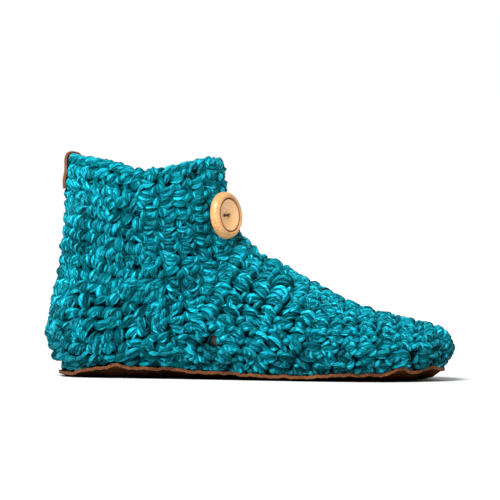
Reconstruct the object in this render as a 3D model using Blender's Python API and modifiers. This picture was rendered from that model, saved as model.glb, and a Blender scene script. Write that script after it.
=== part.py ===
"""Crocheted slipper boot: a wool upper on a thin leather sole, with a felt insole, a wooden button and a
leather tab folded over the heel. The toe points along +X, the outer side of the foot along -Y, +Z is up.
Sizes below are in millimetres and percentages of the driving sizes; meshes are made in metres."""

import math
from collections import namedtuple

import bmesh
import bpy
import numpy as np
from mathutils import Matrix, Vector

# Driving sizes, in millimetres
LENGTH = 260.0  # from the bulge of the heel to the tip of the toe
BALL_WIDTH = 102.0  # outside the wool at the ball of the foot
COLLAR_HEIGHT = 141.0  # floor to the front and back of the collar
WALL = 6.0  # thickness of the crocheted fabric
SOLE_THICKNESS = 2.2
GAP = 0.3  # between pieces that touch
MM = 0.001

# Sole leather, in millimetres
SOLE_HEEL = 9.0  # the sole ends this far inside the bulge of the heel
SOLE_TOE = 4.5  # and this far inside the tip of the toe
HEEL_ROUND = 31.0  # length over which the outline closes at each end
TOE_ROUND = 40.0
SEWN_MARGIN = 8.0  # border of the leather that the wool is sewn down on
ARCH_LIFT = 3.6  # rise of the leather under the arch
TOE_SPRING = 3.6
RIM_CURL = 1.3  # rise of the cut edge, over the sewn margin
RIM_WAVE = 0.7  # puckers along the cut edge
TOE_SWING = 5.0  # the toes point this far towards the inner side
INSOLE_THICKNESS = 6.0
INSOLE_ROOM = 2.0  # the felt is cut this much smaller than the opening over the sole

# The crocheted courses
COURSE_DEPTH = 1.4  # valley between two courses
COURSE_SPREAD = 4.6  # where mesh rows are closer than this, in the turn of the heel, the courses even out
COLLAR_DIP = 9.0  # the collar is lower at the sides of the ankle
FLAP_STEP = 2.4  # the outer flap of the cuff lies over the inner one at the front
QUARTER_COLUMNS = 7  # mesh columns in a quarter of a section
ROUNDNESS_TOP = 2.15  # power of the curve from the top line to the widest place
ROUNDNESS_BASE = 2.4  # and from there to the base
EDGE_HOLD = 2.5  # keeps the pull of the sewn edge close to the base where the heel narrows

# Wooden button and its thread
BUTTON_DIAMETER = 30.0
BUTTON_THICKNESS = 6.0
BUTTON_DISH = 1.8  # depth of the hollow in its face
BUTTON_RING = 10.8  # radius of the groove round the dish
BUTTON_HOLE = 2.8
BUTTON_HOLE_PITCH = 6.4
BUTTON_STATION = 16.95  # place on the cuff: section, and share of the way from the front to the back
BUTTON_SHARE = 0.156
BUTTON_TURN = 55.0  # degrees that its face turns from the outer side to the front
BUTTON_TILT = 5.5  # degrees that its face looks up
BUTTON_STANDOFF = 2.3  # room for the bulge of the wool under the button
THREAD = 1.5

# Leather tab over the back of the collar
TAB_WIDTH = 22.0
TAB_THICKNESS = 1.4
TAB_OUTSIDE = 21.0  # length down the back
TAB_INSIDE = 14.0  # length down the inside

# One row for each section of the upper, from the tip of the toe round the heel to the collar.
# A section is a plane across the shoe that runs from the top line to the base line.
# along: percent of LENGTH from the heel; height and rise: percent of COLLAR_HEIGHT, rise being above the sole;
# lateral and medial: widest half widths, percent of half BALL_WIDTH; widest: where, as a share of the way up;
# courses: rows of crochet up to the next section.
Section = namedtuple(
    "Section",
    "name top_along top_height base_along base_rise lateral medial widest courses",
)
SECTIONS = [
    Section("toe tip", 99.5, 18.8, 99.4, 5.4, 24, 24, 0.50, 1.0),
    Section("toes", 98.2, 22.0, 97.3, 2.1, 46, 46, 0.50, 0.5),
    Section("toe edge", 96.4, 23.4, 95.2, 0.0, 59, 59, 0.50, 0.5),
    Section("toe curve", 94.8, 24.2, 94.2, 0.0, 66, 66, 0.50, 0.5),
    Section("toe box", 92.3, 25.0, 92.0, 0.0, 73, 73, 0.50, 1.5),
    Section("joints", 86.5, 28.2, 86.5, 0.0, 90, 89, 0.47, 2.5),
    Section("ball", 77.3, 33.0, 76.5, 0.0, 100, 98, 0.42, 2.5),
    Section("waist front", 68.1, 41.0, 65.4, 0.0, 98, 90, 0.38, 2.0),
    Section("waist", 60.4, 48.4, 53.1, 0.0, 90, 82, 0.34, 2.5),
    Section("instep", 55.4, 53.3, 39.2, 0.0, 83, 77, 0.33, 2.5),
    Section("throat", 52.3, 57.1, 23.8, 0.0, 78, 75, 0.35, 2.0),
    Section("heel seat", 50.6, 60.3, 11.5, 0.0, 75, 74, 0.40, 1.0),
    Section("heel curve", 49.9, 61.8, 7.7, 0.0, 74, 74, 0.41, 1.0),
    Section("heel edge", 49.5, 63.0, 6.5, 0.0, 74, 74, 0.42, 1.0),
    Section("heel under", 48.4, 64.5, 2.9, 4.3, 73, 73, 0.45, 1.5),
    Section("heel back", 46.9, 67.4, 0.0, 17.4, 73, 73, 0.47, 2.0),
    Section("heel top", 45.7, 70.9, 0.8, 30.9, 73, 73, 0.48, 2.0),
    Section("counter", 44.8, 75.2, 2.6, 45.0, 74, 74, 0.50, 2.0),
    Section("ankle", 44.2, 81.2, 3.9, 60.6, 75, 75, 0.50, 2.5),
    Section("cuff", 43.7, 90.1, 4.5, 79.8, 77, 77, 0.50, 2.5),
    Section("collar", 42.7, 100.0, 5.1, 97.9, 79, 79, 0.50, 0.0),
]
NOSE_HEIGHT = 14.0  # percent of COLLAR_HEIGHT, at the tip of the toe
FLAP_FROM = 10.0  # the overlap at the front runs from this section up
DIP_FROM = 18.0  # and the dip of the collar from this one

# One row for each width of the sole: along in percent of LENGTH, half widths in percent of half BALL_WIDTH
SoleWidth = namedtuple("SoleWidth", "along lateral medial")
SOLE_WIDTHS = [
    SoleWidth(3.0, 57, 57),
    SoleWidth(15.0, 60, 59),
    SoleWidth(35.0, 66, 57),
    SoleWidth(55.0, 79, 67),
    SoleWidth(76.5, 90, 88),
    SoleWidth(88.0, 85, 86),
    SoleWidth(99.0, 78, 80),
]

# Colours from the wool, the leather, the felt and the wood: colour, roughness
FINISHES = {
    "wool": ((0.010, 0.180, 0.215), 0.85),
    "leather": ((0.190, 0.070, 0.030), 0.75),
    "felt": ((0.160, 0.125, 0.110), 0.95),
    "wood": ((0.640, 0.350, 0.140), 0.45),
    "thread": ((0.120, 0.045, 0.025), 0.70),
}


def smooth_curve(values, at):
    """A curve through evenly spaced values that never overshoots them, read at a fractional index."""
    steps = np.diff(values)
    slopes = np.zeros(len(values))
    turning = steps[:-1] * steps[1:] > 0
    slopes[1:-1][turning] = 2 * (steps[:-1] * steps[1:])[turning] / (steps[:-1] + steps[1:])[turning]
    slopes[0], slopes[-1] = steps[0], steps[-1]
    i = min(max(int(at), 0), len(values) - 2)
    t = at - i
    rise = values[i + 1] - values[i]
    bend = slopes[i] * (1 - t) - slopes[i + 1] * t
    return values[i] + rise * t * t * (3 - 2 * t) + t * (1 - t) * bend


def ease(share):
    """Zero up to 0, one from 1 on, and smooth between."""
    share = min(max(share, 0.0), 1.0)
    return share * share * (3 - 2 * share)


def along_to_x(percent):
    return (percent / 100 - 0.5) * LENGTH


def swing(x):
    """The toes' shift towards the inner side of the foot."""
    return TOE_SWING * ease((x / LENGTH - 0.15) / 0.35)


# The sole's outline and height, which the upper and the insole follow

SOLE_BACK = -LENGTH / 2 + SOLE_HEEL
SOLE_FRONT = LENGTH / 2 - SOLE_TOE


def sole_half_width(x, side, inset):
    """Half width of the sole's outline at x, drawn in by inset all round; side is lateral or medial."""
    back, front = SOLE_BACK + inset, SOLE_FRONT - inset
    if not back < x < front:
        return 0.0
    alongs = [along_to_x(row.along) for row in SOLE_WIDTHS]
    widths = [getattr(row, side) / 100 * BALL_WIDTH / 2 for row in SOLE_WIDTHS]
    index = float(np.interp(x, alongs, range(len(alongs))))
    half = smooth_curve(np.array(widths), index) - inset
    for short_of_round in (1 - (x - back) / (HEEL_ROUND - inset), 1 - (front - x) / (TOE_ROUND - inset)):
        half *= math.sqrt(1 - max(short_of_round, 0.0) ** 2)
    return half


def sole_lift(x):
    """Height of the sole's underside: flat at heel and forefoot, with an arch and a toe spring."""
    arch_share = (x / LENGTH + 0.377) / 0.338
    arch = ARCH_LIFT * ease(arch_share / 0.4) * ease((1 - arch_share) / 0.6)
    toe_share = (x / LENGTH - 0.30) / 0.185
    return arch + TOE_SPRING * max(toe_share, 0.0) ** 2


def seat_height(x):
    """Height at which the wool rests on the leather."""
    return sole_lift(x) + SOLE_THICKNESS + GAP


def rim_height(x, from_edge):
    """How far the leather's border stands up: it curls and puckers towards the cut edge."""
    near = max(1 - from_edge / SEWN_MARGIN, 0.0) ** 3
    toe_pucker = ease((x / LENGTH - 0.30) / 0.1)
    wave = math.sin(x / 6.3 + 0.8) * (0.45 + 0.5 * toe_pucker) + 0.55 * math.sin(x / 14.7 - 0.5)
    return near * (RIM_CURL + RIM_WAVE * wave)


# The upper's surface

TABLE = {field: np.array([getattr(row, field) for row in SECTIONS], float) for field in Section._fields[1:]}
LAST = len(SECTIONS) - 1


def section_value(field, station):
    return float(smooth_curve(TABLE[field], station))


def outer_point(station, side, share):
    """Point on the outside of the upper: share runs from 0 on the top line to 1 on the base line."""
    top = Vector((along_to_x(section_value("top_along", station)), 0, 0))
    top.z = section_value("top_height", station) / 100 * COLLAR_HEIGHT
    base = Vector((along_to_x(section_value("base_along", station)), 0, 0))
    base.z = seat_height(base.x) + section_value("base_rise", station) / 100 * COLLAR_HEIGHT
    middle = base.lerp(top, section_value("widest", station))
    width = section_value(side, station) / 100 * BALL_WIDTH / 2
    edge = sole_half_width(base.x, side, SEWN_MARGIN)
    if share <= 0.5:
        turn, power = share * math.pi, 2 / ROUNDNESS_TOP
        point = middle.lerp(top, math.cos(turn) ** power)
        across = width * math.sin(turn) ** power
    else:
        turn, power = (share - 0.5) * math.pi, 2 / ROUNDNESS_BASE
        point = middle.lerp(base, math.sin(turn) ** power)
        inward = 1 - max(math.cos(turn), 0.0) ** power
        across = width * (1 - inward) + edge * inward ** (1 + EDGE_HOLD * (1 - edge / width) ** 2)
    ring = (point.x - base.x) / max(top.x - base.x, 1.0) * 2 - 1
    point.z -= COLLAR_DIP * (1 - ring * ring) * ease((station - DIP_FROM) / (LAST - DIP_FROM))
    point.y = swing(point.x) + (across if side == "medial" else -across)
    return point


def outward(station, side, share):
    """Unit normal of the upper's outside, from points close by."""
    near = 0.004
    before, after = max(station - near, 0.0), min(station + near, LAST)
    low, high = max(share - near, 0.0), min(share + near, 1.0)
    down_shoe = outer_point(after, side, share) - outer_point(before, side, share)
    round_shoe = outer_point(station, side, high) - outer_point(station, side, low)
    normal = down_shoe.cross(round_shoe)
    if side == "medial":
        normal.negate()
    return normal.normalized()


def crochet_rows():
    """Stations of the mesh rows, two to a course, from the toe to the collar."""
    stations = []
    for i, row in enumerate(SECTIONS[:-1]):
        count = round(row.courses * 2)
        stations += [i + k / count for k in range(count)]
    return stations + [float(LAST)]


def ring_columns():
    """(side, share) of the mesh columns, from the outer base over the top to the inner base.
    Two columns close together make the edge of the overlapping flap."""
    even = [k / (2 * QUARTER_COLUMNS) for k in range(1, 2 * QUARTER_COLUMNS + 1)]
    flap_edge = [("medial", 0.030), ("medial", 0.038)]
    outer_side = [("lateral", share) for share in reversed(even)]
    inner_side = [("medial", share) for share in even]
    return outer_side + [("lateral", 0.0)] + flap_edge + inner_side


def flap_depth(station, side, share):
    """How far the inner flap lies below the outer one, dying out round the inner side."""
    if side == "lateral" or share < 0.034:
        return 0.0
    return FLAP_STEP * ease((station - FLAP_FROM) / 2) * ease((0.42 - share) / 0.38)


def is_closed(station):
    """True where a section goes right round, beyond the ends of the opening over the sole."""
    x = along_to_x(section_value("base_along", station))
    return sole_half_width(x, "lateral", SEWN_MARGIN) == 0


def upper_points():
    """Outside and inside points of the upper, each as a list of rows."""
    columns = ring_columns()
    stations = crochet_rows()
    smooth = [[outer_point(s, *column) for column in columns] for s in stations]
    outside, inside = [], []
    for i, station in enumerate(stations):
        normals = [outward(station, *column) for column in columns]
        closed = is_closed(station)
        if closed:
            normals[0] = normals[-1] = (normals[0] + normals[-1]).normalized()
        before, after = smooth[max(i - 1, 0)], smooth[min(i + 1, len(stations) - 1)]
        outside_row, inside_row = [], []
        for j, (side, share) in enumerate(columns):
            flap = flap_depth(station, side, share)
            apart = min((after[j] - before[j]).length / 2 / COURSE_SPREAD, 1) ** 2
            valley = (1 - apart) / 2 + (apart if i % 2 == 1 else 0)
            sewn_down = 1 if closed else ease((1 - share) / 0.15)
            depth = flap + COURSE_DEPTH * valley * sewn_down
            outside_row.append(smooth[i][j] - normals[j] * depth)
            inside_row.append(smooth[i][j] - normals[j] * (WALL + flap / 2))
        outside.append(outside_row)
        inside.append(inside_row)
    return outside, inside


def finish_material(finish):
    material = bpy.data.materials.get(finish) or bpy.data.materials.new(finish)
    colour, roughness = FINISHES[finish]
    material.use_nodes = True
    shader = material.node_tree.nodes["Principled BSDF"]
    shader.inputs["Base Color"].default_value = (*colour, 1)
    shader.inputs["Roughness"].default_value = roughness
    shader.inputs["Metallic"].default_value = 0.0
    return material


def add_object(name, data, finish, collection):
    piece = bpy.data.objects.new(name, data)
    collection.objects.link(piece)
    if finish:
        data.materials.append(finish_material(finish))
    return piece


def mesh_from(name, build, crease=40):
    """A mesh made by build(bm), in millimetres, then welded, turned outwards and scaled to metres.
    Edges that turn by more than crease degrees stay sharp."""
    bm = bmesh.new()
    build(bm)
    bmesh.ops.remove_doubles(bm, verts=bm.verts, dist=GAP / 30)
    bmesh.ops.recalc_face_normals(bm, faces=bm.faces)
    bmesh.ops.scale(bm, vec=(MM, MM, MM), verts=bm.verts)
    mesh = bpy.data.meshes.new(name)
    bm.to_mesh(mesh)
    bm.free()
    mesh.shade_smooth()
    mesh.set_sharp_from_angle(angle=math.radians(crease))
    return mesh


def add_strip(bm, first, second):
    """Quads between two rows of vertices of the same length."""
    for a, b, c, d in zip(first, first[1:], second[1:], second):
        corners = list(dict.fromkeys((a, b, c, d)))
        if len(corners) > 2:
            bm.faces.new(corners)


def make_upper(collection):
    """The crocheted upper: foot, heel and cuff in one wall, open at the collar and over the sole."""
    outside, inside = upper_points()
    open_rows = [not is_closed(station) for station in crochet_rows()]
    nose_outside = Vector((LENGTH / 2, swing(LENGTH / 2), NOSE_HEIGHT / 100 * COLLAR_HEIGHT))
    nose_inside = nose_outside - Vector((WALL, 0, 0))

    def build(bm):
        grids = []
        for rows, nose in ((outside, nose_outside), (inside, nose_inside)):
            grid = []
            for row, is_open in zip(rows, open_rows):
                ring = [bm.verts.new(point) for point in row[:-1]]
                grid.append(ring + [bm.verts.new(row[-1]) if is_open else ring[0]])
            tip = bm.verts.new(nose)
            for a, b in zip(grid[0], grid[0][1:]):
                bm.faces.new((tip, a, b))
            for first, second in zip(grid, grid[1:]):
                add_strip(bm, first, second)
            grids.append(grid)
        outer_grid, inner_grid = grids
        add_strip(bm, outer_grid[-1], inner_grid[-1])
        for i in range(len(open_rows) - 1):
            if open_rows[i] or open_rows[i + 1]:
                for end in (0, -1):
                    add_strip(bm, [outer_grid[i][end], outer_grid[i + 1][end]],
                              [inner_grid[i][end], inner_grid[i + 1][end]])

    return add_object("upper", mesh_from("upper", build, crease=24), "wool", collection)


def sole_sheet(inset, rows, shares, height):
    """Points of a sheet with the sole's outline drawn in by inset: rows along, shares across."""
    back, front = SOLE_BACK + inset, SOLE_FRONT - inset
    points = []
    for i in range(rows + 1):
        x = (back + front) / 2 - (front - back) / 2 * math.cos(math.pi * i / rows)
        x = 0.6 * x + 0.4 * (back + (front - back) * i / rows)
        lateral, medial = (sole_half_width(x, side, inset) for side in ("lateral", "medial"))
        row = []
        for share in shares:
            y = medial * share if share > 0 else lateral * share
            from_edge = (1 - abs(share)) * (medial if share > 0 else lateral)
            from_edge = min(from_edge, x - back, front - x)
            row.append(Vector((x, swing(x) + y, height(x, from_edge))))
        points.append(row)
    return points


def add_sheet(name, points, thickness, finish, collection):
    """A sheet of even thickness on a grid of points of its underside."""

    def build(bm):
        grid = [[bm.verts.new(point) for point in row] for row in points]
        for first, second in zip(grid, grid[1:]):
            add_strip(bm, first, second)

    mesh = mesh_from(name, build)
    if mesh.polygons[0].normal.z < 0:
        mesh.flip_normals()
    piece = add_object(name, mesh, finish, collection)
    solid = piece.modifiers.new("thickness", "SOLIDIFY")
    solid.thickness = thickness * MM
    solid.offset = 1.0
    solid.use_even_offset = True
    return piece


def make_sole(collection):
    """Leather sole: flat at heel and forefoot, arched between, its cut edge curled and puckered."""
    shares = (-1, -0.95, -0.88, -0.6, 0, 0.6, 0.88, 0.95, 1)

    def underside(x, from_edge):
        return sole_lift(x) + rim_height(x, from_edge)

    points = sole_sheet(0.0, 44, shares, underside)
    return add_sheet("sole", points, SOLE_THICKNESS, "leather", collection)


def make_insole(collection):
    """Felt insole, which lies on the leather inside the sewn edge of the upper."""
    shares = (-1, -0.5, 0, 0.5, 1)
    points = sole_sheet(SEWN_MARGIN + INSOLE_ROOM, 24, shares, lambda x, from_edge: seat_height(x))
    return add_sheet("insole", points, INSOLE_THICKNESS, "felt", collection)


def make_heel_tab(collection):
    """Leather tab folded over the back of the collar, outside and inside, from the upper's own surface."""
    widest = section_value("lateral", LAST) / 100 * BALL_WIDTH / 2
    across = [TAB_WIDTH * (k / 6 - 0.5) for k in range(7)]
    back_rise = 100 / COLLAR_HEIGHT / (TABLE["base_rise"][-1] - TABLE["base_rise"][-2])
    rows = []
    for y in across:
        side = "medial" if y > 0 else "lateral"
        share = 0.5 + math.acos((abs(y) / widest) ** (ROUNDNESS_BASE / 2)) / math.pi
        profile = []
        for drop in (TAB_OUTSIDE, 0.7 * TAB_OUTSIDE, 0.4 * TAB_OUTSIDE, 0.15 * TAB_OUTSIDE):
            station = LAST - drop * back_rise
            profile.append(outer_point(station, side, share) + outward(station, side, share) * GAP)
        rim_outside = outer_point(LAST, side, share)
        normal = outward(LAST, side, share)
        rim_middle = rim_outside - normal * (WALL / 2)
        for k in range(7):
            turn = math.pi * k / 6
            reach = (WALL / 2 + GAP) * math.cos(turn)
            profile.append(rim_middle + normal * reach + Vector((0, 0, 1.6 * math.sin(turn))))
        for drop in (0.4 * TAB_INSIDE, TAB_INSIDE):
            station = LAST - drop * back_rise
            inward = outward(station, side, share) * (WALL + 3 * GAP)
            profile.append(outer_point(station, side, share) - inward)
        rows.append(profile)

    def build(bm):
        grid = [[bm.verts.new(point) for point in profile] for profile in rows]
        for first, second in zip(grid, grid[1:]):
            add_strip(bm, first, second)

    mesh = mesh_from("heel_tab", build)
    outermost = min(mesh.polygons, key=lambda face: face.center.x)
    if outermost.normal.x > 0:
        mesh.flip_normals()
    piece = add_object("heel_tab", mesh, "leather", collection)
    solid = piece.modifiers.new("thickness", "SOLIDIFY")
    solid.thickness = TAB_THICKNESS * MM
    solid.offset = 1.0
    return piece


def button_place():
    """Matrix of the button: its back just clear of the cuff, its face turned to the front and a little up."""
    turn, tilt = math.radians(BUTTON_TURN), math.radians(BUTTON_TILT)
    facing = Vector((math.sin(turn) * math.cos(tilt), -math.cos(turn) * math.cos(tilt), math.sin(tilt)))
    level = Vector((0, 0, 1)).cross(facing).normalized()
    turned = Matrix((level, facing.cross(level), facing)).transposed().to_4x4()
    spot = outer_point(BUTTON_STATION, "lateral", BUTTON_SHARE) + facing * (GAP + BUTTON_STANDOFF)
    return Matrix.Translation(spot * MM) @ turned


def turned_profile(profile, name, steps, collection, finish):
    """A solid of revolution about its own Z from (radius, height) points down its outer side."""
    mesh = bpy.data.meshes.new(name)
    points = [(radius * MM, 0, height * MM) for radius, height in profile]
    mesh.from_pydata(points, [(k, k + 1) for k in range(len(points) - 1)], [])
    piece = add_object(name, mesh, finish, collection)
    screw = piece.modifiers.new("turn", "SCREW")
    screw.steps = screw.render_steps = steps
    screw.use_merge_vertices = True
    screw.merge_threshold = 0.00001
    screw.use_normal_calculate = True
    return piece


def make_button(collection, cutters):
    """Turned wooden button: rounded rim, a groove round a dished middle, and two holes."""
    radius, thick = BUTTON_DIAMETER / 2, BUTTON_THICKNESS
    profile = [
        (0, thick - BUTTON_DISH),
        (BUTTON_RING * 0.6, thick - BUTTON_DISH * 0.8),
        (BUTTON_RING - 1.0, thick - BUTTON_DISH * 0.4),
        (BUTTON_RING - 0.4, thick - BUTTON_DISH * 0.6),
        (BUTTON_RING + 0.4, thick - 0.1),
        (BUTTON_RING + 1.2, thick),
        (radius - 1.2, thick * 0.80),
        (radius - 0.3, thick * 0.56),
        (radius, thick * 0.36),
        (radius - 0.4, thick * 0.16),
        (radius - 2.5, 0),
        (0, 0),
    ]
    button = turned_profile(profile, "button", 36, collection, "wood")
    button.matrix_world = button_place()
    for sign in (-1, 1):
        bpy.ops.mesh.primitive_cylinder_add(
            vertices=14, radius=BUTTON_HOLE / 2 * MM, depth=3 * thick * MM
        )
        cutter = bpy.context.object
        cutter.name = f"hole_cutter_{'left' if sign < 0 else 'right'}"
        cutter.matrix_world = button_place() @ Matrix.Translation((sign * BUTTON_HOLE_PITCH / 2 * MM, 0, 0))
        for owner in list(cutter.users_collection):
            owner.objects.unlink(cutter)
        cutters.objects.link(cutter)
        cutter.hide_render = True
        cutter.display_type = "WIRE"
        cut = button.modifiers.new(cutter.name, "BOOLEAN")
        cut.operation = "DIFFERENCE"
        cut.object = cutter
    return button


def make_button_thread(collection):
    """The sewing thread: down one hole and up the other, its bridge lying in the dish."""
    half = BUTTON_HOLE_PITCH / 2
    bridge = BUTTON_THICKNESS - BUTTON_DISH + THREAD / 2 + GAP
    foot = GAP / 2 - BUTTON_STANDOFF
    route = [
        (-half, 0, foot),
        (-half, 0, bridge - 0.5),
        (-half + 0.5, 0, bridge),
        (half - 0.5, 0, bridge),
        (half, 0, bridge - 0.5),
        (half, 0, foot),
    ]
    curve = bpy.data.curves.new("button_thread", "CURVE")
    curve.dimensions = "3D"
    curve.bevel_depth = THREAD / 2 * MM
    curve.bevel_resolution = 2
    curve.use_fill_caps = True
    spline = curve.splines.new("POLY")
    spline.points.add(len(route) - 1)
    for point, place in zip(spline.points, route):
        point.co = (*(value * MM for value in place), 1)
    thread = add_object("button_thread", curve, "thread", collection)
    thread.matrix_world = button_place()
    return thread


def main():
    for thing in list(bpy.data.objects):
        bpy.data.objects.remove(thing, do_unlink=True)
    slipper = bpy.data.collections.new("slipper_boot")
    cutters = bpy.data.collections.new("cutters")
    for collection in (slipper, cutters):
        bpy.context.scene.collection.children.link(collection)
    make_sole(slipper)
    make_insole(slipper)
    make_upper(slipper)
    make_heel_tab(slipper)
    make_button(slipper, cutters)
    make_button_thread(slipper)


main()
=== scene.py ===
import math

import bmesh
import bpy
import numpy as np
from mathutils import Matrix, Vector


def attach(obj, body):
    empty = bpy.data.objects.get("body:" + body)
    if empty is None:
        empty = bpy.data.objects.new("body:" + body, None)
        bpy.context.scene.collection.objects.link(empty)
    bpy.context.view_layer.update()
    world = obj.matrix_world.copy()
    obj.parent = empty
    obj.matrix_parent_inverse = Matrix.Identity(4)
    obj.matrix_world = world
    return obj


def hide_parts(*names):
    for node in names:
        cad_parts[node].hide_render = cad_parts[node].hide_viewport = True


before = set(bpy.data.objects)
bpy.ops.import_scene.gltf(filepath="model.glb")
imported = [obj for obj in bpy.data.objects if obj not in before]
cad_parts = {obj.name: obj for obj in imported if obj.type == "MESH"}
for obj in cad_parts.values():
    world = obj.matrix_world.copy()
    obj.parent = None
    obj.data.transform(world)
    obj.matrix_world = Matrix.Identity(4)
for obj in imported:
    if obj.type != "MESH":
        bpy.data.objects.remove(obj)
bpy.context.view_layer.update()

# Leather sole: one cut of thin brown suede under the whole foot, sewn to the lower edge of the wool.
# Its cut edge curls up a little, waves along the sides and puckers round the toe.
MM = 0.001
LENGTH = 260.0
BALL_WIDTH = 102.0
SOLE_THICKNESS = 2.2  # of the model's sole, which the wool stands on
LEATHER = 1.9  # of the cut leather itself
CUT_ROUNDING = 0.4
# painted shade under the sole: heights for the black of its underside
UNDERSIDE_SHADE_HEIGHTS = (6.2, 11.0)  # the underside is black up to the first height and brown from the second
SOLE_BACK = -LENGTH / 2 + 9.0
SOLE_FRONT = LENGTH / 2 - 4.5
HEEL_ROUND = 31.0
TOE_ROUND = 40.0
SEWN_MARGIN = 8.0  # from the cut edge in to the lower edge of the wool
ARCH_LIFT = 3.6
TOE_SPRING = 3.6
# where arch, toe spring and swing of the toes begin, and their run, in parts of the length from its middle
ARCH_FROM, ARCH_RUN = -0.377, 0.338
SPRING_FROM, SPRING_RUN = 0.30, 0.185
SWING_FROM, SWING_RUN = 0.15, 0.35
TOE_SWING = 5.0  # of the toes towards the inner side of the foot
SAG_FRONT = 50.0  # behind this place the soft leather sags under the arch
SAGGED_LIFT = 0.25
BORDER = 9.0  # width of the border that is drawn up to the edge
# along the sole in percent of the length, half widths in percent of half the ball width
SOLE_ALONG = (3.0, 15.0, 35.0, 55.0, 76.5, 88.0, 99.0)
SOLE_WIDTH = {"lateral": (57, 60, 66, 79, 90, 85, 78), "medial": (57, 59, 57, 67, 88, 86, 80)}
# the soft cut edge stands up from the floor in folds: place along the shoe and height, in millimetres;
# those of the inner side lie a little forward, and all are smoothed over a few steps along the edge
INNER_SHIFT = 9.0
EDGE_STEPS = (-2.4, -1.2, 0.0, 1.2, 2.4)
EDGE_FOLDS = (
    (-121, 1.8), (-112, 1.6), (-102, 4.3), (-90, 6.2), (-83, 7.8), (-77, 6.0), (-62, 5.6), (-45, 5.5),
    (-35, 3.8), (-28, 3.4), (-19, 4.0), (-6, 2.9), (13, 1.9), (32, 1.8), (45, 2.2), (51, 3.3), (70, 3.6),
    (86, 3.8), (92, 6.4), (96, 8.0), (100, 6.6), (104, 5.0), (110, 6.6), (115, 8.4), (119, 7.2), (126, 6.4),
)


def read_curve(values, at):
    """A curve through evenly spaced values that never overshoots them, read at fractional places."""
    values = np.asarray(values, float)
    at = np.asarray(at, float)
    steps = np.diff(values)
    slopes = np.zeros(len(values))
    same_way = steps[:-1] * steps[1:] > 0
    both = (steps[:-1] + steps[1:])[same_way]
    slopes[1:-1][same_way] = 2 * (steps[:-1] * steps[1:])[same_way] / both
    slopes[0], slopes[-1] = steps[0], steps[-1]
    i = np.clip(at.astype(int), 0, len(values) - 2)
    t = at - i
    rise = values[i + 1] - values[i]
    bend = slopes[i] * (1 - t) - slopes[i + 1] * t
    return values[i] + rise * t * t * (3 - 2 * t) + t * (1 - t) * bend


def ease(share):
    share = np.clip(share, 0.0, 1.0)
    return share * share * (3 - 2 * share)


def toe_swing(x):
    """Shift of the toes towards the inner side of the foot."""
    return TOE_SWING * ease((x / LENGTH - SWING_FROM) / SWING_RUN)


def sole_half_width(x, side, inset):
    back, front = SOLE_BACK + inset, SOLE_FRONT - inset
    alongs = (np.array(SOLE_ALONG) / 100 - 0.5) * LENGTH
    place = np.interp(x, alongs, np.arange(len(alongs)))
    half = read_curve(np.array(SOLE_WIDTH[side]) / 100 * BALL_WIDTH / 2, place) - inset
    heel = np.clip(1 - (x - back) / (HEEL_ROUND - inset), 0, 1)
    toe = np.clip(1 - (front - x) / (TOE_ROUND - inset), 0, 1)
    return half * np.sqrt(1 - heel**2) * np.sqrt(1 - toe**2)


def sole_lift(x):
    """Height of the underside: flat at heel and forefoot, with an arch and a toe spring."""
    arch_share = (x / LENGTH - ARCH_FROM) / ARCH_RUN
    arch = ARCH_LIFT * ease(arch_share / 0.4) * ease((1 - arch_share) / 0.6)
    toe_share = (x / LENGTH - SPRING_FROM) / SPRING_RUN
    return arch + TOE_SPRING * np.maximum(toe_share, 0.0) ** 2


def edge_height(x, side):
    """Height of the cut edge over the floor, its folds smoothed and finely puckered."""
    places, heights = np.array(EDGE_FOLDS).T
    along = x if side == "lateral" else x - INNER_SHIFT
    smooth = np.mean([np.interp(along + step, places, heights) for step in EDGE_STEPS], axis=0)
    pucker = 0.20 * np.sin(x / 1.7 + 1.1) + 0.22 * np.sin(x / 2.9 - 0.4 + np.sin(x / 11.0))
    ragged = 0.17 * np.sin(x / 0.83 + 2.0 * np.sin(x / 7.0))
    return smooth + pucker + ragged


def sole_sheet(inset, rows, shares, height):
    """Points of a sheet with the sole's outline drawn in by inset."""
    back, front = SOLE_BACK + inset, SOLE_FRONT - inset
    even = np.linspace(0, 1, rows + 1)
    bunched = (1 - np.cos(np.pi * even)) / 2
    x = back + (front - back) * (0.6 * bunched + 0.4 * even)
    points = np.zeros((len(x), len(shares), 3))
    for j, share in enumerate(shares):
        side = "medial" if share > 0 else "lateral"
        half = sole_half_width(x, side, inset)
        from_edge = np.minimum((1 - abs(share)) * half, np.minimum(x - back, front - x))
        points[:, j, 0] = x
        points[:, j, 1] = toe_swing(x) + half * share
        points[:, j, 2] = height(x, from_edge, side)
    return points


def grid_mesh(name, points):
    """A smooth mesh on a grid of points given in millimetres."""
    rows, columns = points.shape[:2]
    corner = np.arange(rows * columns).reshape(rows, columns)
    faces = np.stack((corner[:-1, :-1], corner[:-1, 1:], corner[1:, 1:], corner[1:, :-1]), axis=-1)
    mesh = bpy.data.meshes.new(name)
    mesh.from_pydata((points.reshape(-1, 3) * MM).tolist(), [], faces.reshape(-1, 4).tolist())
    clean = bmesh.new()
    clean.from_mesh(mesh)
    bmesh.ops.remove_doubles(clean, verts=clean.verts, dist=0.00002)
    clean.to_mesh(mesh)
    clean.free()
    mesh.shade_smooth()
    return mesh


def as_object(name, data):
    piece = bpy.data.objects.new(name, data)
    bpy.context.scene.collection.objects.link(piece)
    return piece


def applied(piece):
    """The plain mesh of an object with its modifiers applied; the object itself goes."""
    shown = piece.evaluated_get(bpy.context.evaluated_depsgraph_get())
    mesh = bpy.data.meshes.new_from_object(shown)
    bpy.data.objects.remove(piece)
    return mesh


def set_in_place(name, mesh, slot, *nodes):
    """A finished piece of the slipper: it rides on the one body and stands for its CAD nodes."""
    mesh.name = name
    piece = as_object(name, mesh)
    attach(piece, "root")
    if nodes:
        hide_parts(*nodes)


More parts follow.
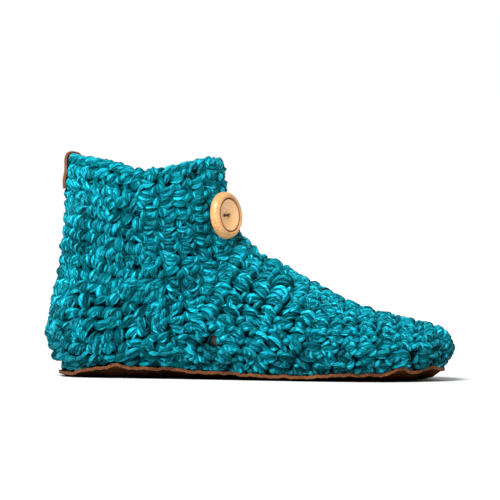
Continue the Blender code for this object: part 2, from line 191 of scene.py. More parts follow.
def thick_sheet(name, points, thickness, rounding, upward=(0, 0, 1)):
    """A sheet of even thickness with rounded edges, on the points of its underside."""
    mesh = grid_mesh(name, points)
    if sum(face.normal.dot(upward) * face.area for face in mesh.polygons) < 0:
        mesh.flip_normals()
    sheet = as_object(name, mesh)
    solid = sheet.modifiers.new("thickness", "SOLIDIFY")
    solid.thickness = thickness * MM
    solid.offset = 1.0
    edge = sheet.modifiers.new("rounding", "BEVEL")
    edge.width = rounding * MM
    edge.segments = 3
    edge.angle_limit = math.radians(50)
    return applied(sheet)


class Finish:
    """A material under construction: nodes are added by kind, and fed by plain values or by other nodes."""

    def __init__(self, name, roughness, sockets=None):
        self.material = bpy.data.materials.new(name)
        self.material.use_nodes = True
        self.tree = self.material.node_tree
        self.shader = self.tree.nodes["Principled BSDF"]
        for socket, value in {"Roughness": roughness, **(sockets or {})}.items():
            self.feed(self.shader.inputs[socket], value)

    def feed(self, socket, value):
        if isinstance(value, bpy.types.NodeSocket):
            self.tree.links.new(value, socket)
        else:
            socket.default_value = (*value, 1) if socket.type == "RGBA" else value

    def add(self, kind, **values):
        node = self.tree.nodes.new("ShaderNode" + kind)
        for key, value in values.items():
            if key in node.inputs:
                self.feed(node.inputs[key], value)
            else:
                setattr(node, key, value)
        return node

    def place(self):
        return self.add("TexCoord").outputs["Object"]

    def attribute(self, label, output="Fac"):
        return self.add("Attribute", attribute_name=label).outputs[output]

    def noise(self, where, scale, detail=3.0, rough=0.55):
        return self.add("TexNoise", Vector=where, Scale=scale, Detail=detail, Roughness=rough).outputs["Fac"]

    def ramp(self, value, *stops):
        """Colours or greys by value: stops are (place, colour) or (place, grey)."""
        node = self.add("ValToRGB", Fac=value)
        band = node.color_ramp
        while len(band.elements) < len(stops):
            band.elements.new(0.5)
        for element, (place, colour) in zip(band.elements, stops):
            element.position = place
            element.color = (*colour, 1) if isinstance(colour, tuple) else (colour, colour, colour, 1)
        return node.outputs["Color"]

    def mix(self, share, first, second, blend="MIX"):
        node = self.add("Mix", data_type="RGBA", blend_type=blend)
        for socket, value in ((0, share), (6, first), (7, second)):
            self.feed(node.inputs[socket], value)
        return node.outputs[2]

    def shaded(self, share, colour, value, *stops):
        """The colour multiplied, by a share, with the stops of a ramp."""
        return self.mix(share, colour, self.ramp(value, *stops), "MULTIPLY")

    def math(self, operation, *values):
        node = self.add("Math", operation=operation)
        for socket, value in zip(node.inputs, values):
            self.feed(socket, value)
        return node.outputs[0]

    def bump(self, height, distance, strength=1.0, **under):
        node = self.add("Bump", Height=height, Distance=distance, Strength=strength, **under)
        return node.outputs["Normal"]

    def done(self, colour, normal=None, roughness=None):
        for socket, source in (("Base Color", colour), ("Normal", normal), ("Roughness", roughness)):
            if source:
                self.feed(self.shader.inputs[socket], source)
        return self.material


def suede(name, deep, worn, sheen=0.15, shade_heights=None):
    """Brown suede: a short nap, cloudy colour and small scuffs; where heights are given, painted shade turns
    it black below the first and fades out by the second.
    """
    finish = Finish(name, 0.85, {"Specular IOR Level": sheen})
    where = finish.place()
    clouds = finish.noise(where, 55.0, 4.0)
    nap = finish.noise(where, 900.0, 5.0, 0.7)
    pores = finish.noise(where, 2600.0, 2.0)
    colour = finish.ramp(clouds, (0.30, deep), (0.72, worn))
    colour = finish.shaded(0.6, colour, nap, (0.38, (0.24, 0.21, 0.19)), (0.62, 1.25))
    # painted shade: black under the lifted edge of the sole up to the first height, the suede's own colour
    # from the second
    if shade_heights:
        height = finish.add("SeparateXYZ", Vector=where).outputs["Z"]
        uneven = finish.math("ADD", height, finish.math("MULTIPLY", clouds, 4.0 * MM))
        low, high = shade_heights
        colour = finish.shaded(1.0, colour, uneven, (low * MM, (0.05, 0.06, 0.08)), (high * MM, 1.0))
    normal = finish.bump(pores, 0.0002, 0.4, Normal=finish.bump(nap, 0.0005, 0.7))
    return finish.done(colour, normal, finish.ramp(clouds, (0.2, 0.7), (0.8, 0.92)))


sole_shares = np.concatenate((np.linspace(-1, -0.8, 9), np.linspace(-0.7, 0.7, 15), np.linspace(0.8, 1, 9)))


def leather_height(x, from_edge, side):
    """The soft leather sags to the floor behind the toe, and its border is drawn up to the edge."""
    middle = np.where(x > SAG_FRONT, 1.0, SAGGED_LIFT) * sole_lift(x)
    border = 1 - ease((from_edge - 0.5) / BORDER)
    return middle + (edge_height(x, side) - middle) * border


sole_points = sole_sheet(0.0, 260, sole_shares, leather_height)
sole_mesh = thick_sheet("leather_sole", sole_points, LEATHER, CUT_ROUNDING)
sole_mesh.materials.append(suede("sole_suede", (0.100, 0.034, 0.012), (0.250, 0.090, 0.032)))
# the underside takes a darker suede, painted as the shade under the sole
sole_mesh.materials.append(
    suede("underside_shaded_suede", (0.035, 0.011, 0.004), (0.130, 0.045, 0.016), sheen=0.0, shade_heights=UNDERSIDE_SHADE_HEIGHTS)
)
# faces of the underside take the suede with the painted shade
for face in sole_mesh.polygons:
    x, y, z = face.center / MM
    half = sole_half_width(x, "lateral" if y < toe_swing(x) else "medial", 0.0)
    inside = min(half - abs(y - toe_swing(x)), x - SOLE_BACK, SOLE_FRONT - x)
    if face.normal.z < -0.2 and inside > 0.5:
        face.material_index = 1
set_in_place("leather_sole", sole_mesh, "leather", "sole")


# Felt insole: a pad cut from thick brown-grey felt, laid on the leather inside the sewn edge of the wool.
# It shows through the collar and, here and there, through holes of the crochet.
INSOLE_THICKNESS = 6.0
INSOLE_INSET = SEWN_MARGIN + 2.0
INSOLE_ROUNDING = 1.2
SEAT = SOLE_THICKNESS + 0.3


def insole_height(x, from_edge, side):
    return sole_lift(x) + SEAT


insole_points = sole_sheet(INSOLE_INSET, 60, np.linspace(-1, 1, 17), insole_height)
insole_mesh = thick_sheet("felt_insole", insole_points, INSOLE_THICKNESS, INSOLE_ROUNDING)
felt = Finish("insole_felt", 0.95, {"Specular IOR Level": 0.05})
felt_where = felt.place()
felt_hairs = felt.noise(felt_where, 1400.0, 5.0, 0.75)
felt_clouds = felt.noise(felt_where, 80.0)
felt_colour = felt.ramp(felt_clouds, (0.3, (0.120, 0.090, 0.078)), (0.7, (0.200, 0.160, 0.140)))
felt_colour = felt.shaded(0.4, felt_colour, felt_hairs, (0.3, 0.4), (0.7, 1.0))
insole_mesh.materials.append(felt.done(felt_colour, felt.bump(felt_hairs, 0.0006, 0.8)))
set_in_place("felt_insole", insole_mesh, "felt", "insole")

# Ground of the upper: the inner loops of the crochet, smooth to the foot and painted nearly black as the
# shade between the stitches.
# One wall from the toe round the heel to the collar, on the shape of the last, open over the sole.
COLLAR_HEIGHT = 141.0
WALL = 6.0
GROUND_DEPTH = 4.4  # the ground lies this far under the tops of the stitches
GROUND_THICKNESS = 0.8
GROUND_ROUNDING = 0.2
FLAP_STEP = 2.4
FLAP_FOOT = 10.0  # the section at which its step begins
FLAP_EDGE = 0.034  # the turn at which the front flap ends
COLLAR_DIP = 9.4  # of the collar at the side of the ankle
FRONT_DIP = 1.6  # of the collar in front
# how round the cross sections are over and under their widest place, where 2 is an ellipse
TOP_ROUNDNESS = 2.15
BASE_ROUNDNESS = 2.4
# places on the outer side, along and up, where a hole of the crochet lets the brown felt show
HOLES = ((-60.6, 29.3), (-20.4, 35.0), (-20.4, 25.5), (-5.7, 28.7), (7.7, 19.8))
HOLE_SIZE = 3.1
FELT_SEEN = (0.100, 0.070, 0.056)
# one row for each section, from the tip of the toe round the heel to the collar:
# top along, top height, base along, base rise, lateral and medial half width, widest; percent as in the model
SECTIONS = np.array((
    (99.5, 18.8, 99.4, 5.4, 24, 24, 0.50),
    (98.2, 22.0, 97.3, 2.1, 46, 46, 0.50),
    (96.4, 23.4, 95.2, 0.0, 59, 59, 0.50),
    (94.8, 24.2, 94.2, 0.0, 66, 66, 0.50),
    (92.3, 25.0, 92.0, 0.0, 73, 73, 0.50),
    (86.5, 28.2, 86.5, 0.0, 90, 89, 0.47),
    (77.3, 33.0, 76.5, 0.0, 100, 98, 0.42),
    (68.1, 41.0, 65.4, 0.0, 98, 90, 0.38),
    (60.4, 48.4, 53.1, 0.0, 90, 82, 0.34),
    (55.4, 53.3, 39.2, 0.0, 83, 77, 0.33),
    (52.3, 57.1, 23.8, 0.0, 78, 75, 0.35),
    (50.6, 60.3, 11.5, 0.0, 75, 74, 0.40),
    (49.9, 61.8, 7.7, 0.0, 74, 74, 0.41),
    (49.5, 63.0, 6.5, 0.0, 74, 74, 0.42),
    (48.4, 64.5, 2.9, 4.3, 73, 73, 0.45),
    (46.9, 67.4, 0.0, 17.4, 73, 73, 0.47),
    (45.7, 70.9, 0.8, 30.9, 73, 73, 0.48),
    (44.8, 75.2, 2.6, 45.0, 74, 74, 0.50),
    (44.2, 81.2, 3.9, 60.6, 75, 75, 0.50),
    (43.7, 90.1, 4.5, 79.8, 77, 77, 0.50),
    (42.7, 100.0, 5.1, 97.9, 79, 79, 0.50),
))
COLLAR = len(SECTIONS) - 1.0
NOSE = np.array((LENGTH / 2, toe_swing(LENGTH / 2), 0.14 * COLLAR_HEIGHT))


def last_points(stations, turns):
    """Outside of the upper in millimetres. A turn runs from -1 on the outer base over 0 on top to 1 on the
    inner base."""
    columns = [read_curve(column, stations)[:, None] for column in SECTIONS.T]
    top_x, top_z, base_x, base_z, lateral, medial, widest = columns
    top_x = (top_x / 100 - 0.5) * LENGTH
    base_x = (base_x / 100 - 0.5) * LENGTH
    top_z = top_z / 100 * COLLAR_HEIGHT
    base_z = sole_lift(base_x) + SEAT + base_z / 100 * COLLAR_HEIGHT
    share = np.abs(turns)[None, :]
    inner = turns[None, :] > 0
    width = np.where(inner, medial, lateral) / 100 * BALL_WIDTH / 2
    sewn = np.where(inner, sole_half_width(base_x, "medial", SEWN_MARGIN),
                    sole_half_width(base_x, "lateral", SEWN_MARGIN))
    over = np.clip(share, 0, 0.5) * np.pi
    under = np.clip(share - 0.5, 0, 0.5) * np.pi
    upper_half = share <= 0.5
    up_share = np.maximum(np.cos(over), 0) ** (2 / TOP_ROUNDNESS)
    down_share = np.sin(under) ** (2 / BASE_ROUNDNESS)
    reach = np.where(upper_half, up_share, down_share)
    x_middle = base_x + (top_x - base_x) * widest
    z_middle = base_z + (top_z - base_z) * widest
    x = x_middle + (np.where(upper_half, top_x, base_x) - x_middle) * reach
    z = z_middle + (np.where(upper_half, top_z, base_z) - z_middle) * reach
    drawn_in = 1 - np.maximum(np.cos(under), 0) ** (2 / BASE_ROUNDNESS)
    hold = 1 + 2.5 * (1 - sewn / width) ** 2
    across = np.where(upper_half, width * np.sin(over) ** (2 / TOP_ROUNDNESS),
                      width * (1 - drawn_in) + sewn * drawn_in**hold)
    # the collar, from -1 at the back to 1 in front, dips at the side of the ankle and a little in front
    ring = (x - base_x) / np.maximum(top_x - base_x, 1.0) * 2 - 1
    from_dip = np.clip((np.abs(ring) - 0.15) / 0.85, 0, 1) ** np.where(ring < 0, 0.6, 1.2)
    z = z - COLLAR_DIP * (1 - from_dip) * ease((stations[:, None] - (COLLAR - 2)) / 2)
    z = z - FRONT_DIP * ease((ring - 0.90) / 0.10) * ease(stations[:, None] - (COLLAR - 1))
    y = toe_swing(x) + np.where(inner, across, -across)
    return np.stack((x, y, z), axis=-1)


STATIONS = np.concatenate((np.linspace(-1, 0, 11)[:-1], np.linspace(0, COLLAR, 401)))
TURNS = np.linspace(-1, 1, 241)
last = last_points(np.maximum(STATIONS, 0), TURNS)
toe_cap = np.clip(STATIONS + 1, 0, 1)[:, None, None]
last = NOSE + (last - NOSE) * toe_cap**0.6
last_out = np.cross(np.gradient(last, axis=1), np.gradient(last, axis=0))
last_out[0] = (1, 0, 0)
last_out /= np.maximum(np.linalg.norm(last_out, axis=-1, keepdims=True), 1e-9)
closed_back = np.linalg.norm(last[:, 0] - last[:, -1], axis=1) < 0.1
back_out = last_out[closed_back, 0] + last_out[closed_back, -1]
back_out /= np.linalg.norm(back_out, axis=1, keepdims=True)
last_out[closed_back, 0] = back_out
last_out[closed_back, -1] = back_out
flap = FLAP_STEP * ease((STATIONS - FLAP_FOOT) / 2)[:, None] * ease((0.42 - TURNS) / 0.38)[None, :]
flap = np.where(TURNS[None, :] < FLAP_EDGE, 0.0, flap)
last = last - last_out * flap[:, :, None]


def on_last(station, turn):
    """Points and outward directions on the outside of the upper at fractional places."""
    i = np.interp(station, STATIONS, np.arange(len(STATIONS)))
    j = (np.asarray(turn) + 1) / 2 * (len(TURNS) - 1)
    i0 = np.clip(i.astype(int), 0, len(STATIONS) - 2)
    j0 = np.clip(j.astype(int), 0, len(TURNS) - 2)
    a = (i - i0)[..., None]
    b = (j - j0)[..., None]
    results = []
    for field in (last, last_out):
        near = field[i0, j0] * (1 - b) + field[i0, j0 + 1] * b
        far = field[i0 + 1, j0] * (1 - b) + field[i0 + 1, j0 + 1] * b
        results.append(near * (1 - a) + far * a)
    results[1] /= np.linalg.norm(results[1], axis=-1, keepdims=True)
    return results


ground_points = (last - last_out * (GROUND_DEPTH + GROUND_THICKNESS))[::4, ::4]
ground_mesh = thick_sheet("upper_ground", ground_points, GROUND_THICKNESS, GROUND_ROUNDING)
loops = Finish("ground_painted_shade", 0.95, {"Specular IOR Level": 0.0})
loops_where = loops.place()
loop_cells = loops.add("TexVoronoi", feature="SMOOTH_F1", Vector=loops_where, Scale=260.0).outputs["Distance"]
# painted shade: the ground is coloured nearly black, darkest between the loop cells
ground_shade_colour = loops.ramp(loop_cells, (0.15, (0.001, 0.026, 0.032)), (0.65, (0.0003, 0.004, 0.005)))
side_place = loops.add("Mapping", Vector=loops_where, Scale=(1.0, 0.0, 1.0)).outputs[0]
for x, z in HOLES:
    away = loops.add("VectorMath", operation="DISTANCE", Vector=side_place)
    away.inputs[1].default_value = (x * MM, 0.0, z * MM)
    through = loops.ramp(away.outputs["Value"], (0.0018, 1.0), (0.0032, 0.0))
    ground_shade_colour = loops.mix(through, ground_shade_colour, FELT_SEEN)
ground_mesh.materials.append(loops.done(ground_shade_colour, loops.bump(loop_cells, 0.0012)))
set_in_place("upper_ground", ground_mesh, "wool", "upper")

# Crocheted foot: rounds of stitches from the toe to the throat, made with two strands held together.
# The thick matt wool makes the body of each loop; the thin shiny strand lies along one rim of it.
ROUND_PITCH = 12.6  # along the shoe, from round to round
STITCH_PITCH = 8.0  # along a round
FLATNESS = 0.58  # of the soft wool strand
BRIGHT_FLATNESS = 0.85  # of the shiny strand
RIM_PLACE = 0.60  # the shiny strand lies this far from the middle of the wool to its rim
SECOND_ARCS = 0.35  # part of the stitches with a second arc of the shiny strand
DRIFT = 0.65  # of the rows, which no maker keeps quite even
HEEL_SIDE = -95.0  # behind this place the wool lies round the back of the heel
TAB_WIDTH = 22.0  # the heel tab presses the wool under it
TAB_PRESS = 1.3
TAB_BACK = -112.6  # the inner loops lie before this place, the outer ones behind it
# the loops are drawn in at the back of the heel, most of all over the heel bone
PRESS_HEIGHTS = (8.0, 20.0, 68.0, 80.0, 130.0)
PRESSES = (0.3, 2.0, 2.0, 0.9, 0.9)
# on top they are drawn in at the throat, and stand out over the instep and the toes
TOP_PLACES = (-8.0, -2.0, 6.0, 12.0, 19.0, 26.0, 95.0, 108.0, 118.0, 124.0)
TOP_PRESSES = (0.0, 2.0, 2.0, 0.0, -1.6, 0.0, 0.0, -1.0, -1.0, 0.0)
DIVE = 2.6  # the ends of a loop go this far down between the others
LOOP_POINTS = 7  # along the guide line of a loop
# painted light and shade: the wool is a little lighter towards the collar and darker over the sole
LIGHT_AND_SHADE_HEIGHTS = (8.0, 30.0, 100.0, 124.0)
LIGHT_AND_SHADE_TINTS = (-0.25, 0.05, 0.05, 0.50)
STIR = 160.0  # the soft strands waver, by a noise of this scale and seed
STIR_SEED = 3.0
maker = np.random.default_rng(11)


def round_slant(x):
    """Lean of the rounds: their tops lie forward, less so at the toe."""
    return 0.04 + 0.46 * ease((80.0 - x) / 50.0)


def foot_place(points):
    """Place along the foot, counted so that a round has the same value all the way."""
    x, z = points[..., 0], points[..., 2]
    return x - round_slant(x) * (z - 15.0)


FOOT_BACK = -45.8  # where the rounds of the foot begin, at the throat
FOOT_FRONT = 114.0


def trace(field, value, columns, low=0):
    """A line on the upper where a field, which rises up each column of the last, has one value."""
    rising = np.maximum.accumulate(field[low:], axis=0)
    stations = [np.interp(value, rising[:, j], STATIONS[low:]) for j in columns]
    return np.array(stations), TURNS[columns]


def spots_along(stations, turns, at):
    """Places at given distances along a line on the upper: points, line direction, outward direction."""
    points, out = on_last(stations, turns)
    steps = np.linalg.norm(np.diff(points, axis=0), axis=1)
    run = np.concatenate(([0], np.cumsum(steps)))
    spot_station = np.interp(at, run, stations)
    spot_turn = np.interp(at, run, turns)
    centre, normal = on_last(spot_station, spot_turn)
    ahead, behind = ([np.interp(at + step, run, axis) for axis in points.T] for step in (1.5, -1.5))
    line = np.subtract(ahead, behind).T
    line -= normal * np.sum(line * normal, axis=-1, keepdims=True)
    line /= np.maximum(np.linalg.norm(line, axis=-1, keepdims=True), 1e-9)
    return centre, line, normal


def line_length(stations, turns):
    points = on_last(stations, turns)[0]
    return float(np.linalg.norm(np.diff(points, axis=0), axis=1).sum())


def stitches_along(stations, turns, begin, pitch, spare=0.0):
    """Spots at an even pitch along a line on the upper, up to a spare length before its end: points, line
    direction, direction across the line, outward direction."""
    at = np.arange(begin, line_length(stations, turns) - spare, pitch)
    centre, along, out = spots_along(stations, turns, at)
    return centre, along, np.cross(out, along), out


def only(spots, keep):
    return tuple(part[keep] for part in spots)


def some_of(spots, share, where=True):
    """Some of the spots, taken by chance."""
    return only(spots, (maker.random(len(spots[0])) < share) & where)


def over_a_hole(points):
    away = [np.hypot(points[:, 0] - x, points[:, 2] - z) for x, z in HOLES]
    return (np.min(away, axis=0) < HOLE_SIZE) & (points[:, 1] < 0)


def leather_top(points, at_edge=False):
    """Height of the leather's upper face under points of the wool, or of the nearest edge of the leather.
    Where there is no leather it is far below."""
    x = points[..., 0]
    off_middle = points[..., 1] - toe_swing(x)
    tops = []
    for side in ("lateral", "medial"):
        inside = sole_half_width(x, side, 0.0) - np.abs(off_middle)
        from_edge = np.minimum(inside, np.minimum(x - SOLE_BACK, SOLE_FRONT - x))
        top = leather_height(x, 0 * x if at_edge else np.maximum(from_edge, 0.0), side) + LEATHER
        tops.append(np.where(from_edge > (-1.0 if at_edge else -4.0), top, -100.0))
    return np.where(off_middle < 0, tops[0], tops[1])


def behind_tab(points):
    """True for the inner loops that the heel tab covers, where it is folded over the collar."""
    x, y, z = points.T
    inside = (x < HEEL_SIDE) & (x > TAB_BACK)
    return inside & (np.abs(y) < TAB_WIDTH / 2 + 0.5) & (z > COLLAR_HEIGHT - 20.0)


def pressed_in(points, out):
    """How far loops are pressed under the heel tab, and the outer ones drawn in round the heel and on top."""
    x, y, z = points.T
    under_tab = (np.abs(y) < TAB_WIDTH / 2 + 1) & (x < HEEL_SIDE) & (z > COLLAR_HEIGHT - 24)
    at_back = ease((HEEL_SIDE - x) / 20.0) * np.interp(z, PRESS_HEIGHTS, PRESSES)
    on_top = ease((out[:, 2] - 0.55) / 0.25) * np.interp(x, TOP_PLACES, TOP_PRESSES)
    return np.where(under_tab, TAB_PRESS, np.where(out[:, 0] < 0.5, at_back, 0.0)) + on_top


def wander(points, phase):
    """Slow drift of the rows, in millimetres."""
    x, y, z = points.T
    drift = np.sin(x / 9.7 + z / 13.1 + phase) + np.sin(z / 8.3 - x / 15.9 + y / 12.0 + 2 * phase)
    return DRIFT * drift[:, None]


def lay_loops(skeins, spots, start, end, bow=0.0, wool=2.6, bright=1.05, rim=1, sunk=0.5, waver=0.45,
              dive=DIVE):
    """Lays one loop of the double strand at each spot. Start and end are places along and across the spot,
    bow bends the loop sideways, and rim tells on which side of the wool the shiny strand lies."""
    hidden = spots[0][:, 2] < leather_top(spots[0], at_edge=True) - 2.0
    hidden |= behind_tab(spots[0])
    centre, along, across, out = only(spots, ~over_a_hole(spots[0]) & ~hidden)
    count = len(centre)
    if not count:
        return
    centre = centre + along * wander(centre, 0.0) + across * wander(centre, 2.0)
    t = np.linspace(0, 1, LOOP_POINTS)[None, :, None]
    middle = (np.array(start) + np.array(end)) / 2 + maker.normal(0, waver * 0.7, (count, 2))
    half = (np.array(end) - np.array(start)) / 2 * maker.normal(1, 0.08, (count, 1))
    turn = maker.normal(0, waver * 0.16, count)
    half = np.stack((half[:, 0] * np.cos(turn) - half[:, 1] * np.sin(turn),
                     half[:, 0] * np.sin(turn) + half[:, 1] * np.cos(turn)), axis=1)
    first, second = middle - half, middle + half
    flat_path = first[:, None] * (1 - t) + second[:, None] * t
    way = second - first
    way /= np.linalg.norm(way, axis=1, keepdims=True)
    sideways = np.stack((-way[:, 1], way[:, 0]), axis=1)[:, None]
    hump = 1 - (2 * t - 1) ** 2
    bend = bow * maker.uniform(0.7, 1.3, (count, 1, 1))
    size = maker.normal(1, 0.13, (count, 1, 1)).clip(0.7, 1.3)
    # painted light and shade by height, added to each loop's random tint
    height_light_and_shade = np.interp(centre[:, 2], LIGHT_AND_SHADE_HEIGHTS, LIGHT_AND_SHADE_TINTS)[:, None, None]
    tint = maker.uniform(0, 1, (count, 1, 1)) + height_light_and_shade + 0 * t
    ends_down = np.abs(2 * t - 1) ** 2.4 * dive
    swell = 0.42 + 0.58 * np.sin(np.pi * t) ** 0.8
    wool_path = flat_path + sideways * bend * hump
    pressed = pressed_in(centre, out)[:, None, None]
    wool_depth = wool * FLATNESS + sunk + ends_down + pressed
    place_on_wool = RIM_PLACE * maker.uniform(0.6, 1.25, (count, 1, 1))
    rim_path = wool_path + sideways * rim * wool * size * place_on_wool * hump**0.8
    rim_depth = wool_depth - wool * FLATNESS * 0.80 * hump**0.6

    def in_space(path, depth, thick):
        place = centre[:, None] + along[:, None] * path[..., :1] + across[:, None] * path[..., 1:]
        place = place - out[:, None] * depth
        place[..., 2] = np.maximum(place[..., 2], leather_top(place) + thick)
        return place

    facing = np.repeat(out[:, None], LOOP_POINTS, axis=1)
    for strand, full, shape, path, depth in (
        ("wool", wool, swell, wool_path, wool_depth),
        ("bright", bright, 0.35 + 0.65 * np.sin(np.pi * t), rim_path, rim_depth),
    ):
        if full > 0:
            thick = np.broadcast_to(full * size * shape, tint.shape)[..., 0]
            skeins[strand].append((in_space(path, depth, thick), thick, facing, tint[..., 0]))


def lay_arcs(skeins, spots, first, second):
    """Arcs of the shiny strand alone: one over each stitch and a second one over some of them. An arc is its
    start, end, bow and thickness, and for the second one how far it is sunk."""
    start, end, bow, bright = first
    lay_loops(skeins, spots, start, end, bow, wool=0.0, bright=bright, sunk=0.4, waver=1.0)
    start, end, bow, bright, sunk = second
    some = some_of(spots, SECOND_ARCS)
    lay_loops(skeins, some, start, end, bow, wool=0.0, bright=bright, sunk=sunk, waver=1.2)


def paths_mesh(name, skein):
    """Guide lines of all the loops in a skein, as edges with their thickness, facing and tint."""
    points, thick, facing, tint = (np.concatenate(part) for part in zip(*skein))
    index = np.arange(thick.size).reshape(thick.shape)
    edges = np.stack((index[:, :-1], index[:, 1:]), axis=-1)
    mesh = bpy.data.meshes.new(name)
    mesh.from_pydata((points.reshape(-1, 3) * MM).tolist(), edges.reshape(-1, 2).tolist(), [])
    for label, kind, key, values in (
        ("thick", "FLOAT", "value", thick * MM),
        ("tint", "FLOAT", "value", tint),
        ("facing", "FLOAT_VECTOR", "vector", facing),
    ):
        kept = mesh.attributes.new(label, kind, "POINT")
        kept.data.foreach_set(key, values.astype(np.float32).reshape(-1))
    return mesh


def strand_tree():
    """Node tree that spins a soft flattened strand round each guide line."""
    tree = bpy.data.node_groups.new("spun strand", "GeometryNodeTree")
    tree.is_modifier = True
    for label, kind in (("Guides", "Geometry"), ("Sides", "Int"), ("Flatness", "Float"), ("Plies", "Float"),
                        ("Groove", "Float"), ("Waver", "Float"), ("Seed", "Float"), ("Finish", "Material")):
        tree.interface.new_socket(label, in_out="INPUT", socket_type="NodeSocket" + kind)
    tree.interface.new_socket("Strand", in_out="OUTPUT", socket_type="NodeSocketGeometry")

    def node(kind, sockets=None, **settings):
        """Adds a node, sets or links its inputs and gives its outputs."""
        new = tree.nodes.new(kind)
        for key, value in settings.items():
            setattr(new, key, value)
        for socket, value in (sockets or {}).items():
            if isinstance(value, bpy.types.NodeSocket):
                tree.links.new(value, new.inputs[socket])
            else:
                new.inputs[socket].default_value = value
        return new.outputs

    def keep(geometry, label, value):
        kept = {"Geometry": geometry[0], "Name": label, "Value": value}
        return node("GeometryNodeStoreNamedAttribute", kept, data_type="FLOAT", domain="POINT")

    given = node("NodeGroupInput")
    place = node("GeometryNodeInputPosition")
    spline = node("GeometryNodeSplineParameter")
    stirring = {"Vector": place[0], "W": given["Seed"], "Scale": STIR}
    stir = node("ShaderNodeTexNoise", stirring, noise_dimensions="4D")
    centred = node("ShaderNodeVectorMath", {0: stir["Color"], 1: (0.5, 0.5, 0.5)}, operation="SUBTRACT")
    shift = node("ShaderNodeVectorMath", {0: centred[0], "Scale": given["Waver"]}, operation="SCALE")
    facing = node("GeometryNodeInputNamedAttribute", {"Name": "facing"}, data_type="FLOAT_VECTOR")
    guide = node("GeometryNodeMeshToCurve", {"Mesh": given["Guides"]})
    guide = node("GeometryNodeSetPosition", {"Geometry": guide[0], "Offset": shift[0]})
    guide = node("GeometryNodeSetCurveNormal", {"Curve": guide[0], "Normal": facing[0]}, mode="FREE")
    guide = keep(guide, "along", spline["Length"])
    turn = node("ShaderNodeMath", {0: spline["Factor"], 1: given["Plies"]}, operation="MULTIPLY")
    angle = node("ShaderNodeMath", {0: turn[0], 1: 2 * math.pi}, operation="MULTIPLY")
    wave = node("ShaderNodeMath", {0: angle[0]}, operation="COSINE")
    depth = node("ShaderNodeMath", {0: wave[0], 1: given["Groove"]}, operation="MULTIPLY")
    flute = node("ShaderNodeVectorMath", {0: place[0], "Scale": depth[0]}, operation="SCALE")
    flat = node("ShaderNodeCombineXYZ", {0: 1.0, 1: given["Flatness"], 2: 1.0})
    profile = node("GeometryNodeCurvePrimitiveCircle", {"Resolution": given["Sides"], "Radius": 1.0})
    profile = keep(profile, "around", spline["Factor"])
    profile = node("GeometryNodeSetPosition", {"Geometry": profile[0], "Offset": flute[0]})
    profile = node("GeometryNodeTransform", {"Geometry": profile[0], "Scale": flat[0]})
    thick = node("GeometryNodeInputNamedAttribute", {"Name": "thick"}, data_type="FLOAT")
    swept = {"Curve": guide[0], "Profile Curve": profile[0], "Scale": thick["Attribute"], "Fill Caps": True}
    spun = node("GeometryNodeCurveToMesh", swept)
    spun = node("GeometryNodeSetShadeSmooth", {"Geometry": spun[0]})
    spun = node("GeometryNodeRealizeInstances", {"Geometry": spun[0]})
    spun = node("GeometryNodeSetMaterial", {"Geometry": spun[0], "Material": given["Finish"]})
    node("NodeGroupOutput", {"Strand": spun[0]})
    return tree


strand = strand_tree()


def spin(name, skein, finish, slot, sides, flatness, plies=3.0, groove=0.07, waver=0.8, nodes=()):
    """Turns the guide lines of a skein into one piece of yarn."""
    guides = as_object(name, paths_mesh(name, skein))
    spun = guides.modifiers.new("spun strand", "NODES")
    spun.node_group = strand
    values = {"Sides": sides, "Flatness": flatness, "Plies": plies, "Groove": groove, "Waver": waver * MM,
              "Seed": STIR_SEED, "Finish": finish}
    for socket in strand.interface.items_tree:
        if socket.in_out == "INPUT" and socket.name in values:
            spun[socket.identifier] = values[socket.name]
    set_in_place(name, applied(guides), slot, *nodes)


def strand_finish(name, dark, light, deep, roughness, twist, streaks, bump, sockets):
    """Colour and fibres of a strand: streaks wound along it with a slight twist, and a tint for each loop."""
    finish = Finish(name, roughness, sockets)
    along, around, tint = (finish.attribute(label) for label in ("along", "around", "tint"))
    wound = finish.math("ADD", around, finish.math("MULTIPLY", along, twist))
    circle = finish.math("MULTIPLY", wound, 2 * math.pi)
    fibre_place = finish.add(
        "CombineXYZ",
        X=finish.math("MULTIPLY", finish.math("SINE", circle), streaks),
        Y=finish.math("MULTIPLY", finish.math("COSINE", circle), streaks),
        Z=finish.math("ADD", finish.math("MULTIPLY", along, 45.0), finish.math("MULTIPLY", tint, 50.0)),
    )
    fibres = finish.noise(fibre_place.outputs[0], 1.0, 2.5, 0.6)
    where = finish.place()
    clouds = finish.noise(where, 70.0, 2.0)
    colour = finish.ramp(fibres, (0.39, deep), (0.5, dark), (0.62, light))
    specks = finish.noise(where, 1500.0, 2.0, 0.6)
    colour = finish.shaded(0.35, colour, specks, (0.32, 0.35), (0.62, 1.25))
    # each loop's tone, from its tint and the clouds; in the wool the tint also holds painted light and shade
    # by height
    shade = finish.math("ADD", finish.math("MULTIPLY", tint, 0.5), finish.math("MULTIPLY", clouds, 0.5))
    colour = finish.shaded(1.0, colour, shade, (0.22, 0.24), (0.76, 1.20))
    return finish.done(colour, finish.bump(fibres, bump))


wool_finish = strand_finish(
    "teal_wool", (0.0009, 0.180, 0.225), (0.005, 0.395, 0.478), (0.0003, 0.036, 0.047),
    roughness=0.95, twist=26.0, streaks=2.8, bump=0.0013,
    sockets={"Specular IOR Level": 0.02},
)
bright_finish = strand_finish(
    "turquoise_strand", (0.001, 0.465, 0.638), (0.030, 0.820, 0.970), (0.0003, 0.115, 0.160),
    roughness=0.52, twist=60.0, streaks=1.5, bump=0.0010,
    sockets={"Specular IOR Level": 0.35, "Specular Tint": (0.2, 0.9, 1.0)},
)


